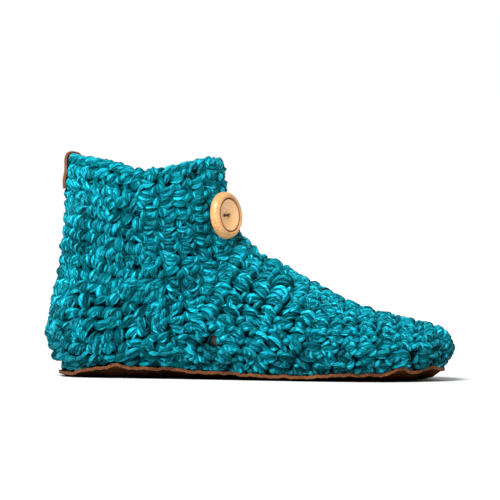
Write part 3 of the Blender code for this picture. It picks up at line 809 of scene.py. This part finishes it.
def spin_both(name, yarn, wool_sides=10, bright_sides=6, groove=0.08):
    """The two strands of one part of the crochet, each as a piece of its own."""
    spin(name + "_wool", yarn["wool"], wool_finish, "wool", wool_sides, FLATNESS)
    spin(name + "_bright", yarn["bright"], bright_finish, "wool", bright_sides, BRIGHT_FLATNESS,
         plies=2.0, groove=groove)


def spread_evenly(stations, turns, stitches):
    """Spots of so many stitches along a line that runs over the foot."""
    at = (np.arange(stitches) + 0.5) / stitches * line_length(stations, turns)
    centre, across, out = spots_along(stations, turns, at)
    return centre, np.cross(across, out), across, out


def on_round(place, pitch):
    """Spots of the stitches of one round of the foot, from the outer base over the top to the inner base."""
    line = trace(-foot_place(last), -place, np.arange(len(TURNS)))
    stitches = max(int(round(line_length(*line) / pitch)), 4)
    centre, along, across, out = spread_evenly(*line, stitches)
    return centre, along, np.where(across[:, 2:] < 0, -across, across), out


def turned(spots, lean, spread, drift):
    """The same spots with each stitch turned about its outward direction and moved a little, by chance."""
    centre, along, across, out = spots
    angle = maker.normal(lean, spread, (len(centre), 1))
    new_along = along * np.cos(angle) + across * np.sin(angle)
    new_across = across * np.cos(angle) - along * np.sin(angle)
    moved = centre + along * maker.normal(0, drift, angle.shape)
    moved = moved + across * maker.normal(0, drift, angle.shape)
    return moved, new_along, new_across, out


STAR_TOP = 42.0  # below this height the loops between the rounds draw together like stars
STAR_ANGLES = (0.75, 2.40, 3.85, 5.50)
foot_yarn = {"wool": [], "bright": []}
round_count = int((FOOT_FRONT - FOOT_BACK) / ROUND_PITCH)
for k in range(round_count + 1):
    place = FOOT_BACK + ROUND_PITCH * (k + 0.5)
    posts = on_round(place, STITCH_PITCH)
    lay_loops(foot_yarn, posts, (-6.0, 3.0), (6.0, 3.2), wool=3.0, bright=0.0, sunk=1.8, waver=0.8)
    posts = turned(posts, lean=0.0, spread=0.24, drift=0.7)
    lay_loops(foot_yarn, posts, (-6.0, -1.2), (6.0, -0.8), bow=1.0, wool=4.1, bright=0.9, rim=-1, sunk=0.4,
              waver=0.6)
    second = ((-4.6, -3.0), (5.0, -2.2), 0.6, 1.3, 0.5)
    lay_arcs(foot_yarn, posts, ((-5.8, 0.0), (5.8, 0.6), 2.2, 1.75), second)
    chain = on_round(place + ROUND_PITCH * 0.48, STITCH_PITCH)
    high = chain[0][:, 2] > STAR_TOP
    for start, end, bow in (((-3.2, -0.4), (-0.4, 6.6), -0.3), ((0.0, 7.8), (3.6, 1.8), 0.3)):
        some = some_of(chain, 0.75, high)
        lay_loops(foot_yarn, some, start, end, bow, wool=2.2, bright=1.6, sunk=0.0, waver=1.0)
    for angle in STAR_ANGLES:
        some = some_of(chain, 0.85, ~high)
        way = np.array((math.cos(angle), math.sin(angle)))
        lay_loops(foot_yarn, some, way * 0.8, way * 7.4, bow=0.5, wool=2.4, bright=1.7, sunk=-0.2, waver=1.0)
# two rings of loops close the toe, and three loops cross its tip
for station, stitches in ((0.9, 14), (-0.25, 7)):
    cap = spread_evenly(np.full(121, station), np.linspace(-1, 1, 121), stitches)
    lay_loops(foot_yarn, cap, (-5.2, -0.8), (5.2, -0.4), bow=0.9, wool=3.8, bright=1.2)
    lay_loops(foot_yarn, cap, (2.2, 0.0), (4.8, 5.6), wool=2.0, bright=1.35, sunk=0.1)
nose = tuple(np.array([axis], float) for axis in (NOSE, (0, 0, 1), (0, 1, 0), (1, 0, 0)))
for aside in (-4.0, 0.0, 4.0):
    lay_loops(foot_yarn, nose, (-6.0, aside), (6.0, aside + 0.6), bow=0.6, wool=3.4, bright=1.2, sunk=1.0)
spin_both("foot", foot_yarn)

# Front of the ankle: a panel worked sideways, so its rows stand upright between the throat and the side seam.
# Short bars hang in it like small smiles, with upright chains of slanted loops between every second row.
BAR_PITCH = 7.6
BAR_ROWS = (-52.0, -40.5, -29.5, -18.5, -7.5)  # place along the shoe, at the height of the floor
CHAIN_ROWS = (-46.2, -35.0, -24.0, -13.0, -2.5)
ROW_LEAN = 0.12
SHIN_PITCH = 8.4


def seam_x(z):
    """Side seam between the back of the ankle and the front, from the sole to the dip of the collar."""
    return np.interp(z, (0.0, 60.0, 135.0), (-52.0, -57.5, -74.0))


def in_front_panel(points):
    before_seam = points[:, 0] > seam_x(points[:, 2]) - 1.0
    return before_seam & (foot_place(points) < FOOT_BACK + 2.0)


def trace_upright(place, inner):
    """One upright row of the front panel, from the collar down, on the inner or outer side."""
    low = int(np.searchsorted(STATIONS, 7.5))
    stations = STATIONS[low:][::-1]
    half = TURNS >= 0 if inner else TURNS <= 0
    field = (last[..., 0] + ROW_LEAN * last[..., 2])[low:, half][::-1]
    turns = TURNS[half]
    step = -1 if inner else 1
    found = [np.interp(place, row[::step], turns[::step]) for row in field]
    return stations, np.array(found)


def down_panel(stations, turns, begin, pitch, spare=0.0):
    """Spots of the stitches that hang along a line down the front panel."""
    centre, down, across, out = stitches_along(stations, turns, begin, pitch, spare)
    return only((centre, across, -down, out), in_front_panel(centre))


def on_upright(place, inner, pitch, begin):
    return down_panel(*trace_upright(place, inner), begin, pitch, spare=3.0)


def lay_filling(skeins, spots, shift, lean, spread, half, wool):
    """Sunk loops of the wool alone, which fill the gaps beside the stitches."""
    between = turned((spots[0] + shift, *spots[1:]), lean, spread, drift=0.8)
    lay_loops(skeins, between, (-half, 0.0), (half, 0.0), wool=wool, bright=0.0, sunk=1.7)


front_yarn = {"wool": [], "bright": []}
for inner in (False, True):
    for k, place in enumerate(BAR_ROWS):
        row = on_upright(place, inner, BAR_PITCH, 8.0 + 4.0 * (k % 2))
        lay_filling(front_yarn, row, -row[2] * BAR_PITCH / 2, lean=0.0, spread=0.3, half=6.0, wool=3.4)
        uneven = np.interp(row[0][:, 2], (55.0, 90.0), (0.5, 0.16))[:, None]
        bars = turned(row, lean=0.0, spread=uneven, drift=0.8)
        lay_loops(front_yarn, bars, (-5.2, 1.6), (5.2, 1.0), bow=-1.3, wool=3.5, bright=1.0, sunk=0.3)
        second = ((-4.4, 3.0), (4.4, 2.6), -0.6, 1.25, 0.4)
        lay_arcs(front_yarn, bars, ((-4.8, 0.2), (4.8, -0.2), -2.0, 1.7), second)
    for place in CHAIN_ROWS:
        chain = on_upright(place, inner, BAR_PITCH, 5.0)
        chain = turned(chain, lean=0.0, spread=0.22, drift=0.8)
        lay_loops(front_yarn, chain, (-3.2, -4.2), (1.4, 3.0), bow=0.5, wool=2.8, bright=1.5)
        lay_loops(front_yarn, chain, (1.6, 5.0), (2.6, -2.4), bow=-0.6, wool=2.6, bright=1.3)

# down the shin the loops are thicker, and their ends go deeper
front_stations = np.linspace(COLLAR, 9.0, 120)
for turn, begin in ((-0.06, 3.0), (0.0, 7.0), (0.065, 4.0), (0.13, 8.0)):
    spots = down_panel(front_stations, np.full(120, turn), begin, SHIN_PITCH)
    lay_loops(front_yarn, spots, (-4.0, 1.4), (4.0, 1.0), bow=-0.9, wool=4.3, bright=1.5, rim=-1, sunk=0.2,
              dive=4.6)
    lay_loops(front_yarn, spots, (-2.6, -4.2), (1.0, 1.6), bow=0.4, wool=2.8, bright=1.5, sunk=0.8, dive=3.6)

# Back of the ankle: rows that run round the heel under the collar, sewn to the front panel at the side seam.
# Upright loops stand in each row, with a chain of pointed loops where one row meets the next.
ROW_PITCH = 8.0  # from row to row
POST_PITCH = 7.4  # along a row
BACK_ROWS = 10
COLLAR_ROWS = 3  # the upper rows lean to and fro, and the others one way, less evenly
column_steps = np.linalg.norm(np.diff(last, axis=0), axis=-1)
below_collar = np.zeros(last.shape[:2])
below_collar[:-1] = np.cumsum(column_steps[::-1], axis=0)[::-1]
# the columns of the last from the inner seam round the heel to the outer seam, and its rows from the ankle up
BACK_COLUMNS = np.concatenate((np.flatnonzero(TURNS >= 0.2), np.flatnonzero(TURNS <= -0.2)))
ANKLE_LOW = int(np.searchsorted(STATIONS, 5.0))


def on_back_row(field, value, pitch, shift):
    """Spots of the stitches of a row round the heel where a field has one value."""
    stations, turns = trace(field, value, BACK_COLUMNS, ANKLE_LOW)
    spots = stitches_along(stations, turns, pitch / 2 + shift, pitch)
    return only(spots, spots[0][:, 0] < seam_x(spots[0][:, 2]))


back_yarn = {"wool": [], "bright": []}
for k in range(BACK_ROWS):
    row = on_back_row(-below_collar, -(9.0 + ROW_PITCH * k), POST_PITCH, POST_PITCH / 2 * (k % 2))
    lay_filling(back_yarn, row, row[1] * POST_PITCH / 2, lean=0.5, spread=0.5, half=5.0, wool=3.6)
    lean = (1.0, 2.1)[k % 2] if k < COLLAR_ROWS else 1.25
    posts = turned(row, lean, spread=0.18 if k < COLLAR_ROWS else 0.42, drift=0.7)
    lay_loops(back_yarn, posts, (-5.0, 0.0), (5.0, 0.0), bow=0.8, wool=3.5, bright=1.0, rim=-1, sunk=0.3)
    second = ((-4.2, -2.4), (4.2, -2.0), 0.6, 1.25, 0.4)
    lay_arcs(back_yarn, posts, ((-4.8, 0.6), (4.8, 0.6), 1.8, 1.7), second)
    some = some_of(posts, 0.6)
    lay_loops(back_yarn, some, (1.5, -4.4), (4.6, 0.4), bow=0.4, wool=2.2, bright=1.4, waver=0.9, sunk=0.2)

# Heel cup: thick loops of the same double strand, packed round the turn of the heel down to the sole.
# They rise towards the front, and the upper ones stand here and there between the rows of the ankle.
CUP_PITCH = 9.0
LOW_ROWS = 2  # the rows next to the sole, which lie flatter and more evenly
CUP_TOP = (55.0, 66.0)  # the cup thins out between these heights
HEEL_HEIGHTS = (1.5, 8.0, 15.5, 23.0, 30.5, 38.0, 46.0, 54.0)
height_on_sole = last[..., 2] - sole_lift(last[..., 0]) - SEAT
for k, height in enumerate(HEEL_HEIGHTS):
    cup = on_back_row(height_on_sole, height, CUP_PITCH, CUP_PITCH / 2 * (k % 2))
    deep = np.interp(cup[0][:, 2], CUP_TOP, (1.0, 0.0)) > maker.uniform(0.2, 0.8, len(cup[0]))
    cup = only(cup, deep)
    lay_filling(back_yarn, cup, cup[1] * CUP_PITCH / 2, lean=0.4, spread=0.5, half=5.6, wool=4.0)
    lean, spread = (0.35, 0.30) if k < LOW_ROWS else (0.85, 0.45)
    cup = turned(cup, lean, spread, drift=0.9)
    lay_loops(back_yarn, cup, (-6.0, 0.0), (6.0, 0.0), bow=1.0, wool=4.0, bright=1.0, rim=-1, sunk=0.3)
    second = ((-4.6, -2.8), (4.6, -2.2), 0.6, 1.3, 0.5)
    lay_arcs(back_yarn, cup, ((-5.4, 0.6), (5.4, 0.6), 2.1, 1.8), second)
    some = some_of(cup, 0.65)
    lay_loops(back_yarn, some, (1.6, -4.8), (5.0, 0.2), bow=-0.3, wool=2.3, bright=1.4, waver=1.0, sunk=0.1)

# Seams and rim: long stitches of the same yarn join the foot to the ankle and close the side seams.
# A rope of slanted loops, worked last, finishes the collar.
SEAM_PITCH = 8.0
RIM_PITCH = 7.4
joins = on_round(FOOT_BACK, 6.5)
lay_loops(front_yarn, joins, (-3.2, -3.6), (1.6, 4.2), bow=0.4, wool=2.6, bright=1.35, waver=0.9)
for half in (TURNS <= 0, TURNS >= 0):
    flat_x = last[:, half, 0].reshape(-1)
    flat_z = last[:, half, 2].reshape(-1)
    flat_station = np.repeat(STATIONS, half.sum())
    flat_turn = np.tile(TURNS[half], len(STATIONS))
    seam_heights = np.linspace(4.0, 128.0, 120)
    nearest = [np.argmin((flat_x - seam_x(z)) ** 2 + (flat_z - z) ** 2) for z in seam_heights]
    centre, up, across, out = stitches_along(flat_station[nearest], flat_turn[nearest], 4.0, SEAM_PITCH)
    spots = (centre, -across, up, out)
    lay_loops(front_yarn, spots, (-2.4, -3.8), (1.8, 3.8), bow=0.5, wool=2.6, bright=1.2, waver=0.9, sunk=0.3)
rim_turns = np.concatenate((np.linspace(0, 1, 120), np.linspace(-1, 0, 120)))
rim_stations = np.full(len(rim_turns), COLLAR)
for inset, slant, sunk in ((1.8, 1.5, -0.3), (4.4, -1.5, 0.3)):
    centre, along, across, out = stitches_along(rim_stations, rim_turns, 3.0, RIM_PITCH)
    up = np.array((0.0, 0.0, 1.0)) - along * along[:, 2:]
    up /= np.linalg.norm(up, axis=1, keepdims=True)
    spots = (centre - out * inset, along, np.cross(up, along), up)
    lay_loops(back_yarn, spots, (-4.8, -slant), (4.8, slant), bow=0.4, wool=2.9, bright=1.4, sunk=sunk,
              waver=0.5)
centre, along, across, out = stitches_along(rim_stations, rim_turns, 0.0, 6.2)
spots = (centre - np.array((0, 0, 3.0)), along, across, out)
lay_loops(back_yarn, spots, (-4.4, -1.6), (4.4, 1.6), bow=0.5, wool=2.6, bright=1.35, waver=0.5)
spin_both("ankle_front", front_yarn)
spin_both("ankle_back", back_yarn)

# Fuzz: short loose hairs of the wool that stand off the stitches all over the outside.
# They are spun like the strands, only a fraction of a millimetre thick.
HAIR_COUNT = 4600
HAIR_LENGTH = 4.2
HAIR_THICKNESS = 0.075
HAIR_TAPER = np.array((1.0, 1.0, 0.9, 0.7, 0.3))
HAIR_ROOT = 1.6  # the hairs begin this far under the tops of the stitches
hair_station = np.interp(maker.random(HAIR_COUNT) ** 0.9, (0.0, 0.12, 1.0), (0.0, 5.0, COLLAR))
hair_turn = maker.uniform(-0.97, 0.97, HAIR_COUNT)
root, out = on_last(hair_station, hair_turn)
lay = maker.normal(0, 1, root.shape)
lay -= out * np.sum(lay * out, axis=1, keepdims=True)
lay /= np.linalg.norm(lay, axis=1, keepdims=True)
curl = np.cross(lay, out) * maker.normal(0, 1.1, (HAIR_COUNT, 1))
share = np.linspace(0, 1, len(HAIR_TAPER))[None, :, None]
reach = HAIR_LENGTH * maker.uniform(0.5, 1.3, (HAIR_COUNT, 1, 1))
lift = maker.uniform(0.1, 0.45, (HAIR_COUNT, 1, 1))
hairs = root[:, None] - out[:, None] * HAIR_ROOT + lay[:, None] * reach * share + curl[:, None] * share**2
hairs = hairs + out[:, None] * (reach * lift * np.sin(np.pi * share * 0.75) + 0.9 * share)
hairs[..., 2] = np.maximum(hairs[..., 2], leather_top(hairs) + 0.3)
hair_thick = np.tile(HAIR_THICKNESS * HAIR_TAPER, (HAIR_COUNT, 1))
hair_facing = np.repeat(out[:, None], len(HAIR_TAPER), axis=1)
hair_tint = np.repeat(maker.random((HAIR_COUNT, 1)), len(HAIR_TAPER), axis=1)
hair_finish = strand_finish(
    "pale_hairs", (0.030, 0.500, 0.600), (0.160, 0.880, 0.960), (0.004, 0.240, 0.300),
    roughness=0.8, twist=60.0, streaks=1.0, bump=0.0002,
    sockets={"Specular IOR Level": 0.1},
)
hair_skein = [(hairs, hair_thick, hair_facing, hair_tint)]
spin("fuzz_hairs", hair_skein, hair_finish, "wool", sides=3, flatness=1.0, groove=0.0)

# Inside of the ankle: the same crochet seen from its other side, upright loops with chains between the rows.
# It lines the wall as far down as the open collar lets it be seen.
INSIDE_DEPTHS = (8.0, 19.0, 30.0, 41.0, 52.0, 63.0, 74.0)
INSIDE_PITCH = 7.6
inside_yarn = {"wool": [], "bright": []}
inside_round = np.concatenate((np.flatnonzero(TURNS >= 0), np.flatnonzero(TURNS <= 0)))
for depth in INSIDE_DEPTHS:
    stations, turns = trace(-below_collar, -depth, inside_round, ANKLE_LOW)
    centre, along, across, out = stitches_along(stations, turns, 4.0, INSIDE_PITCH)
    spots = (centre - out * WALL, -along, across, -out)
    lay_loops(inside_yarn, spots, (-1.5, -6.0), (1.5, 6.0), bow=0.4, wool=3.6, bright=1.2, sunk=-0.9,
              waver=0.8)
    lay_loops(inside_yarn, spots, (-0.6, 7.4), (4.4, 3.6), wool=2.2, bright=1.4, sunk=-0.7, waver=0.8)
spin_both("inside", inside_yarn, wool_sides=8, bright_sides=4, groove=0.0)

# Heel tab: a narrow strip of the same leather, folded over the back of the collar and sewn through the wool.
# It is a little wavy, because the wool under it is uneven.
TAB_THICKNESS = 1.4
TAB_ROUNDING = 0.3
TAB_FOLD = 1.75  # height of the fold over the rim of the collar
# distance below the collar down the outside and the inside, and how far the strip stands off the wool there
TAB_OUTSIDE = (
    (21.0, 0.35), (18.5, 0.75), (16.0, 0.95), (13.0, 0.70),
    (10.0, 0.35), (7.0, 0.45), (4.0, 0.75), (1.8, 0.80),
)
TAB_INSIDE = ((3.0, 0.9), (6.0, 1.4), (10.0, 1.9), (14.0, 2.1))
back_half_width = SECTIONS[-1, 4] / 100 * BALL_WIDTH / 2
rise_to_station = 100 / COLLAR_HEIGHT / (SECTIONS[-1, 3] - SECTIONS[-2, 3])


def off_wall(drop, turn, distance):
    """A point so far below the collar, and so far off the outside of the wall."""
    point, out = on_last(np.array(COLLAR - drop * rise_to_station), turn)
    return point + out * distance


strip_columns = []
for y in np.linspace(-TAB_WIDTH / 2, TAB_WIDTH / 2, 15):
    share = 0.5 + math.acos((abs(y) / back_half_width) ** 1.2) / math.pi
    turn = math.copysign(share, y)
    column = [off_wall(drop, turn, stand_off) for drop, stand_off in TAB_OUTSIDE]
    rim, out = on_last(np.array(COLLAR), turn)
    for fold in np.linspace(0, math.pi, 11):
        reach = (WALL / 2 + 0.3) * math.cos(fold)
        column.append(rim - out * (WALL / 2 - reach) + np.array((0, 0, TAB_FOLD * math.sin(fold))))
    column += [off_wall(drop, turn, -(WALL + stand_off)) for drop, stand_off in TAB_INSIDE]
    strip_columns.append(column)
tab_mesh = thick_sheet("heel_strip", np.array(strip_columns), TAB_THICKNESS, TAB_ROUNDING, (-1, 0, 1))
tab_mesh.materials.append(suede("tab_suede", (0.125, 0.049, 0.023), (0.345, 0.145, 0.070)))
set_in_place("heel_strip", tab_mesh, "leather", "heel_tab")

# Wooden button: turned from pale wood, with a rounded rim, a burnt ring round a dished middle and two holes.
# It is sewn to the outer side of the ankle, over the edge of the front flap.
BUTTON_RADIUS = 15.0
BUTTON_THICKNESS = 6.0
BUTTON_DISH = 3.4
BUTTON_RING = 10.8
RIM_ROUND = 3.2
RIM_FOOT = 1.5
BUTTON_HOLE = 2.8
HOLE_PITCH = 5.6
DRILL_LENGTH = 30.0
BUTTON_STANDOFF = 2.6
BUTTON_STATION = 16.95  # where it is sewn to the upper
BUTTON_SIDE = -0.156
BUTTON_TURN = math.radians(55.0)
BUTTON_TILT = math.radians(5.5)
BUTTON_STEPS = 96
face_height = BUTTON_THICKNESS - BUTTON_DISH
button_profile = [(0.01, face_height)]
for share in np.linspace(0, 1, 12)[1:]:
    button_profile.append(((BUTTON_RING - 0.7) * share, face_height + (BUTTON_DISH - 0.55) * share**2))
for beside, below in ((-0.45, 0.95), (-0.15, 1.00), (0.15, 0.55), (0.50, 0.10)):
    button_profile.append((BUTTON_RING + beside, BUTTON_THICKNESS - below))
for angle in np.linspace(math.pi / 2, 0, 14):
    reach = BUTTON_RADIUS - RIM_ROUND + RIM_ROUND * math.cos(angle)
    button_profile.append((reach, RIM_FOOT + (BUTTON_THICKNESS - RIM_FOOT) * math.sin(angle)))
for inward, height in ((0.25, 0.6), (0.8, 0.12), (1.6, 0.0), (BUTTON_RADIUS - 0.01, 0.0)):
    button_profile.append((BUTTON_RADIUS - inward, height))
turning = bmesh.new()
angles = [2 * math.pi * k / BUTTON_STEPS for k in range(BUTTON_STEPS)]
rings = []
for radius, height in button_profile:
    rings.append([
        turning.verts.new((radius * MM * math.cos(angle), radius * MM * math.sin(angle), height * MM))
        for angle in angles
    ])
for upper_ring, lower_ring in zip(rings, rings[1:]):
    for k in range(BUTTON_STEPS):
        n = (k + 1) % BUTTON_STEPS
        turning.faces.new((upper_ring[k], lower_ring[k], lower_ring[n], upper_ring[n]))
turning.faces.new(rings[0])
turning.faces.new(rings[-1][::-1])
bmesh.ops.recalc_face_normals(turning, faces=turning.faces)
blank_mesh = bpy.data.meshes.new("button_blank")
turning.to_mesh(blank_mesh)
turning.free()
blank = as_object("button_blank", blank_mesh)
drills = []
for side in (-1, 1):
    drilling = bmesh.new()
    bmesh.ops.create_cone(drilling, cap_ends=True, segments=28, radius1=BUTTON_HOLE / 2 * MM,
                          radius2=BUTTON_HOLE / 2 * MM, depth=DRILL_LENGTH * MM,
                          matrix=Matrix.Translation((side * HOLE_PITCH / 2 * MM, 0, 0)))
    drill_mesh = bpy.data.meshes.new("drill")
    drilling.to_mesh(drill_mesh)
    drilling.free()
    drills.append(as_object("drill", drill_mesh))
    cut = blank.modifiers.new("hole", "BOOLEAN")
    cut.object = drills[-1]
    cut.operation = "DIFFERENCE"
button_mesh = applied(blank)
for drill in drills:
    bpy.data.objects.remove(drill)
button_mesh.shade_smooth()
button_mesh.set_sharp_from_angle(angle=math.radians(50))
turned_place = np.zeros(len(button_mesh.vertices) * 3, np.float32)
button_mesh.vertices.foreach_get("co", turned_place)
button_mesh.attributes.new("turned", "FLOAT_VECTOR", "POINT").data.foreach_set("vector", turned_place / MM)
button_faces = Vector((
    math.sin(BUTTON_TURN) * math.cos(BUTTON_TILT),
    -math.cos(BUTTON_TURN) * math.cos(BUTTON_TILT),
    math.sin(BUTTON_TILT),
))
button_level = Vector((0, 0, 1)).cross(button_faces).normalized()
button_upright = Matrix((button_level, button_faces.cross(button_level), button_faces)).transposed().to_4x4()
button_spot = Vector(on_last(np.array(BUTTON_STATION), BUTTON_SIDE)[0]) + button_faces * BUTTON_STANDOFF
button_matrix = Matrix.Translation(button_spot * MM) @ button_upright
button_mesh.transform(button_matrix)

wood = Finish("button_wood", 0.42, {"Coat Weight": 0.15, "Coat Roughness": 0.3})
wood_place = wood.attribute("turned", "Vector")
wood_axes = wood.add("SeparateXYZ", Vector=wood_place).outputs
stretch = wood.add("Mapping", Vector=wood_place, Scale=(0.10, 1.0, 0.6), Rotation=(0.0, 0.0, 0.15)).outputs[0]
year_lines = wood.noise(stretch, 1.1, 3.0, 0.6)
fine_grain = wood.noise(stretch, 7.0, 4.0, 0.7)
flat_place = wood.add("CombineXYZ", X=wood_axes[0], Y=wood_axes[1]).outputs[0]
from_middle = wood.add("VectorMath", operation="LENGTH", Vector=flat_place).outputs["Value"]
from_ring = wood.math("ABSOLUTE", wood.math("SUBTRACT", from_middle, BUTTON_RING - 0.35))
burnt = wood.ramp(from_ring, (0.26, 1.0), (0.80, 0.0))
in_dish = wood.ramp(wood.math("DIVIDE", from_middle, BUTTON_RADIUS), (0.60, 1.0), (0.70, 0.0))
pale, ripe, dark = (0.840, 0.470, 0.195), (0.720, 0.360, 0.125), (0.400, 0.140, 0.040)
wood_colour = wood.ramp(year_lines, (0.30, dark), (0.42, ripe), (0.7, pale))
wood_colour = wood.shaded(0.35, wood_colour, fine_grain, (0.35, (0.55, 0.45, 0.38)), (0.6, 1.0))
wood_colour = wood.mix(wood.math("MULTIPLY", in_dish, 0.6), wood_colour, (0.980, 0.600, 0.290))
wood_colour = wood.mix(burnt, wood_colour, (0.210, 0.058, 0.018))
button_mesh.materials.clear()
button_mesh.materials.append(wood.done(wood_colour, wood.bump(fine_grain, 0.0001, 0.5)))
set_in_place("wooden_button", button_mesh, "wood", "button")

# Button thread: brown sewing thread, two turns of it down one hole and up the other.
# It holds the button to the wool, which lies a little under it.
THREAD_THICKNESS = 0.36
THREAD_FOOT = -1.9
thread_yarn = []
thread_half = HOLE_PITCH / 2 - 0.7
for k, (aside, lift) in enumerate(((-0.32, 0.0), (0.32, 0.12))):
    top = face_height + 0.75 + lift
    down = [(thread_half - 0.6, aside, top), (thread_half - 0.15, aside, top - 0.3)]
    down += [(thread_half, aside, top - 1.0), (thread_half, aside, THREAD_FOOT)]
    route = [(-x, y, z) for x, y, z in down[::-1]] + [(0.0, aside * 1.2, top + 0.1)] + down
    points = np.array([list(button_matrix @ (Vector(place) * MM) / MM) for place in route])[None]
    facing = np.repeat(np.array(button_faces)[None, None], len(route), axis=1)
    even = np.ones((1, len(route)))
    thread_yarn.append((points, even * THREAD_THICKNESS, facing, even * k / 3))
thread_finish = strand_finish(
    "brown_thread", (0.300, 0.120, 0.070), (0.560, 0.300, 0.190), (0.120, 0.045, 0.025),
    roughness=0.7, twist=900.0, streaks=1.5, bump=0.0003,
    sockets={"Specular IOR Level": 0.2},
)
spin("button_stitches", thread_yarn, thread_finish, "thread", sides=8, flatness=1.0, waver=0.0,
     nodes=("button_thread",))

# Stage: a sheet of white paper for the floor, soft studio light from above and a white backdrop.
# The camera is a long lens at the height of the shoe, rolled a little like the photograph.
FLOOR_HALF = 9.0  # metres
floor_corners = [(x * FLOOR_HALF, y * FLOOR_HALF, 0) for x, y in ((-1, -1), (1, -1), (1, 1), (-1, 1))]
floor_mesh = bpy.data.meshes.new("floor")
floor_mesh.from_pydata(floor_corners, [], [(0, 1, 2, 3)])
floor = as_object("floor", floor_mesh)
paper = Finish("white_paper", 0.9)
paper_grain = paper.noise(paper.place(), 30.0, 2.0)
floor_mesh.materials.append(paper.done(paper.ramp(paper_grain, (0.0, 0.92), (1.0, 0.95))))

scene = bpy.context.scene
scene.view_settings.view_transform = "Standard"
world = bpy.data.worlds.new("studio")
scene.world = world
world.use_nodes = True
sky = world.node_tree.nodes["Background"]
sky.inputs["Strength"].default_value = 0.45
backdrop = world.node_tree.nodes.new("ShaderNodeBackground")
seen = world.node_tree.nodes.new("ShaderNodeLightPath")
choose = world.node_tree.nodes.new("ShaderNodeMixShader")
for light in (sky, backdrop):
    light.inputs["Color"].default_value = (1, 1, 1, 1)
for source, target in (
    (seen.outputs["Is Camera Ray"], choose.inputs[0]),
    (sky.outputs[0], choose.inputs[1]),
    (backdrop.outputs[0], choose.inputs[2]),
    (choose.outputs[0], world.node_tree.nodes["World Output"].inputs["Surface"]),
):
    world.node_tree.links.new(source, target)

KEY_DIRECTION = Vector((0.36, 0.70, -0.82))
key_light = bpy.data.lights.new("key_light", "SUN")
key_light.angle = math.radians(30.0)
key_light.energy = 4.2
key_lamp = as_object("key_light", key_light)
key_lamp.rotation_euler = KEY_DIRECTION.to_track_quat("-Z", "Y").to_euler()

VIEW_WIDTH = 0.319
VIEW_CENTRE = Vector((0.0, 0.0, 0.0818))
VIEW_RISE = math.radians(0.9)
VIEW_ROLL = math.radians(0.7)
VIEW_DISTANCE = 3.0
lens = bpy.data.cameras.new("long_lens")
lens.lens = lens.sensor_width * VIEW_DISTANCE / VIEW_WIDTH
camera = as_object("camera", lens)
look = Vector((0, math.cos(VIEW_RISE), -math.sin(VIEW_RISE)))
camera.location = VIEW_CENTRE - look * VIEW_DISTANCE
aim = look.to_track_quat("-Z", "Y").to_matrix().to_4x4()
camera.matrix_world = Matrix.Translation(camera.location) @ aim @ Matrix.Rotation(VIEW_ROLL, 4, "Z")
scene.camera = camera
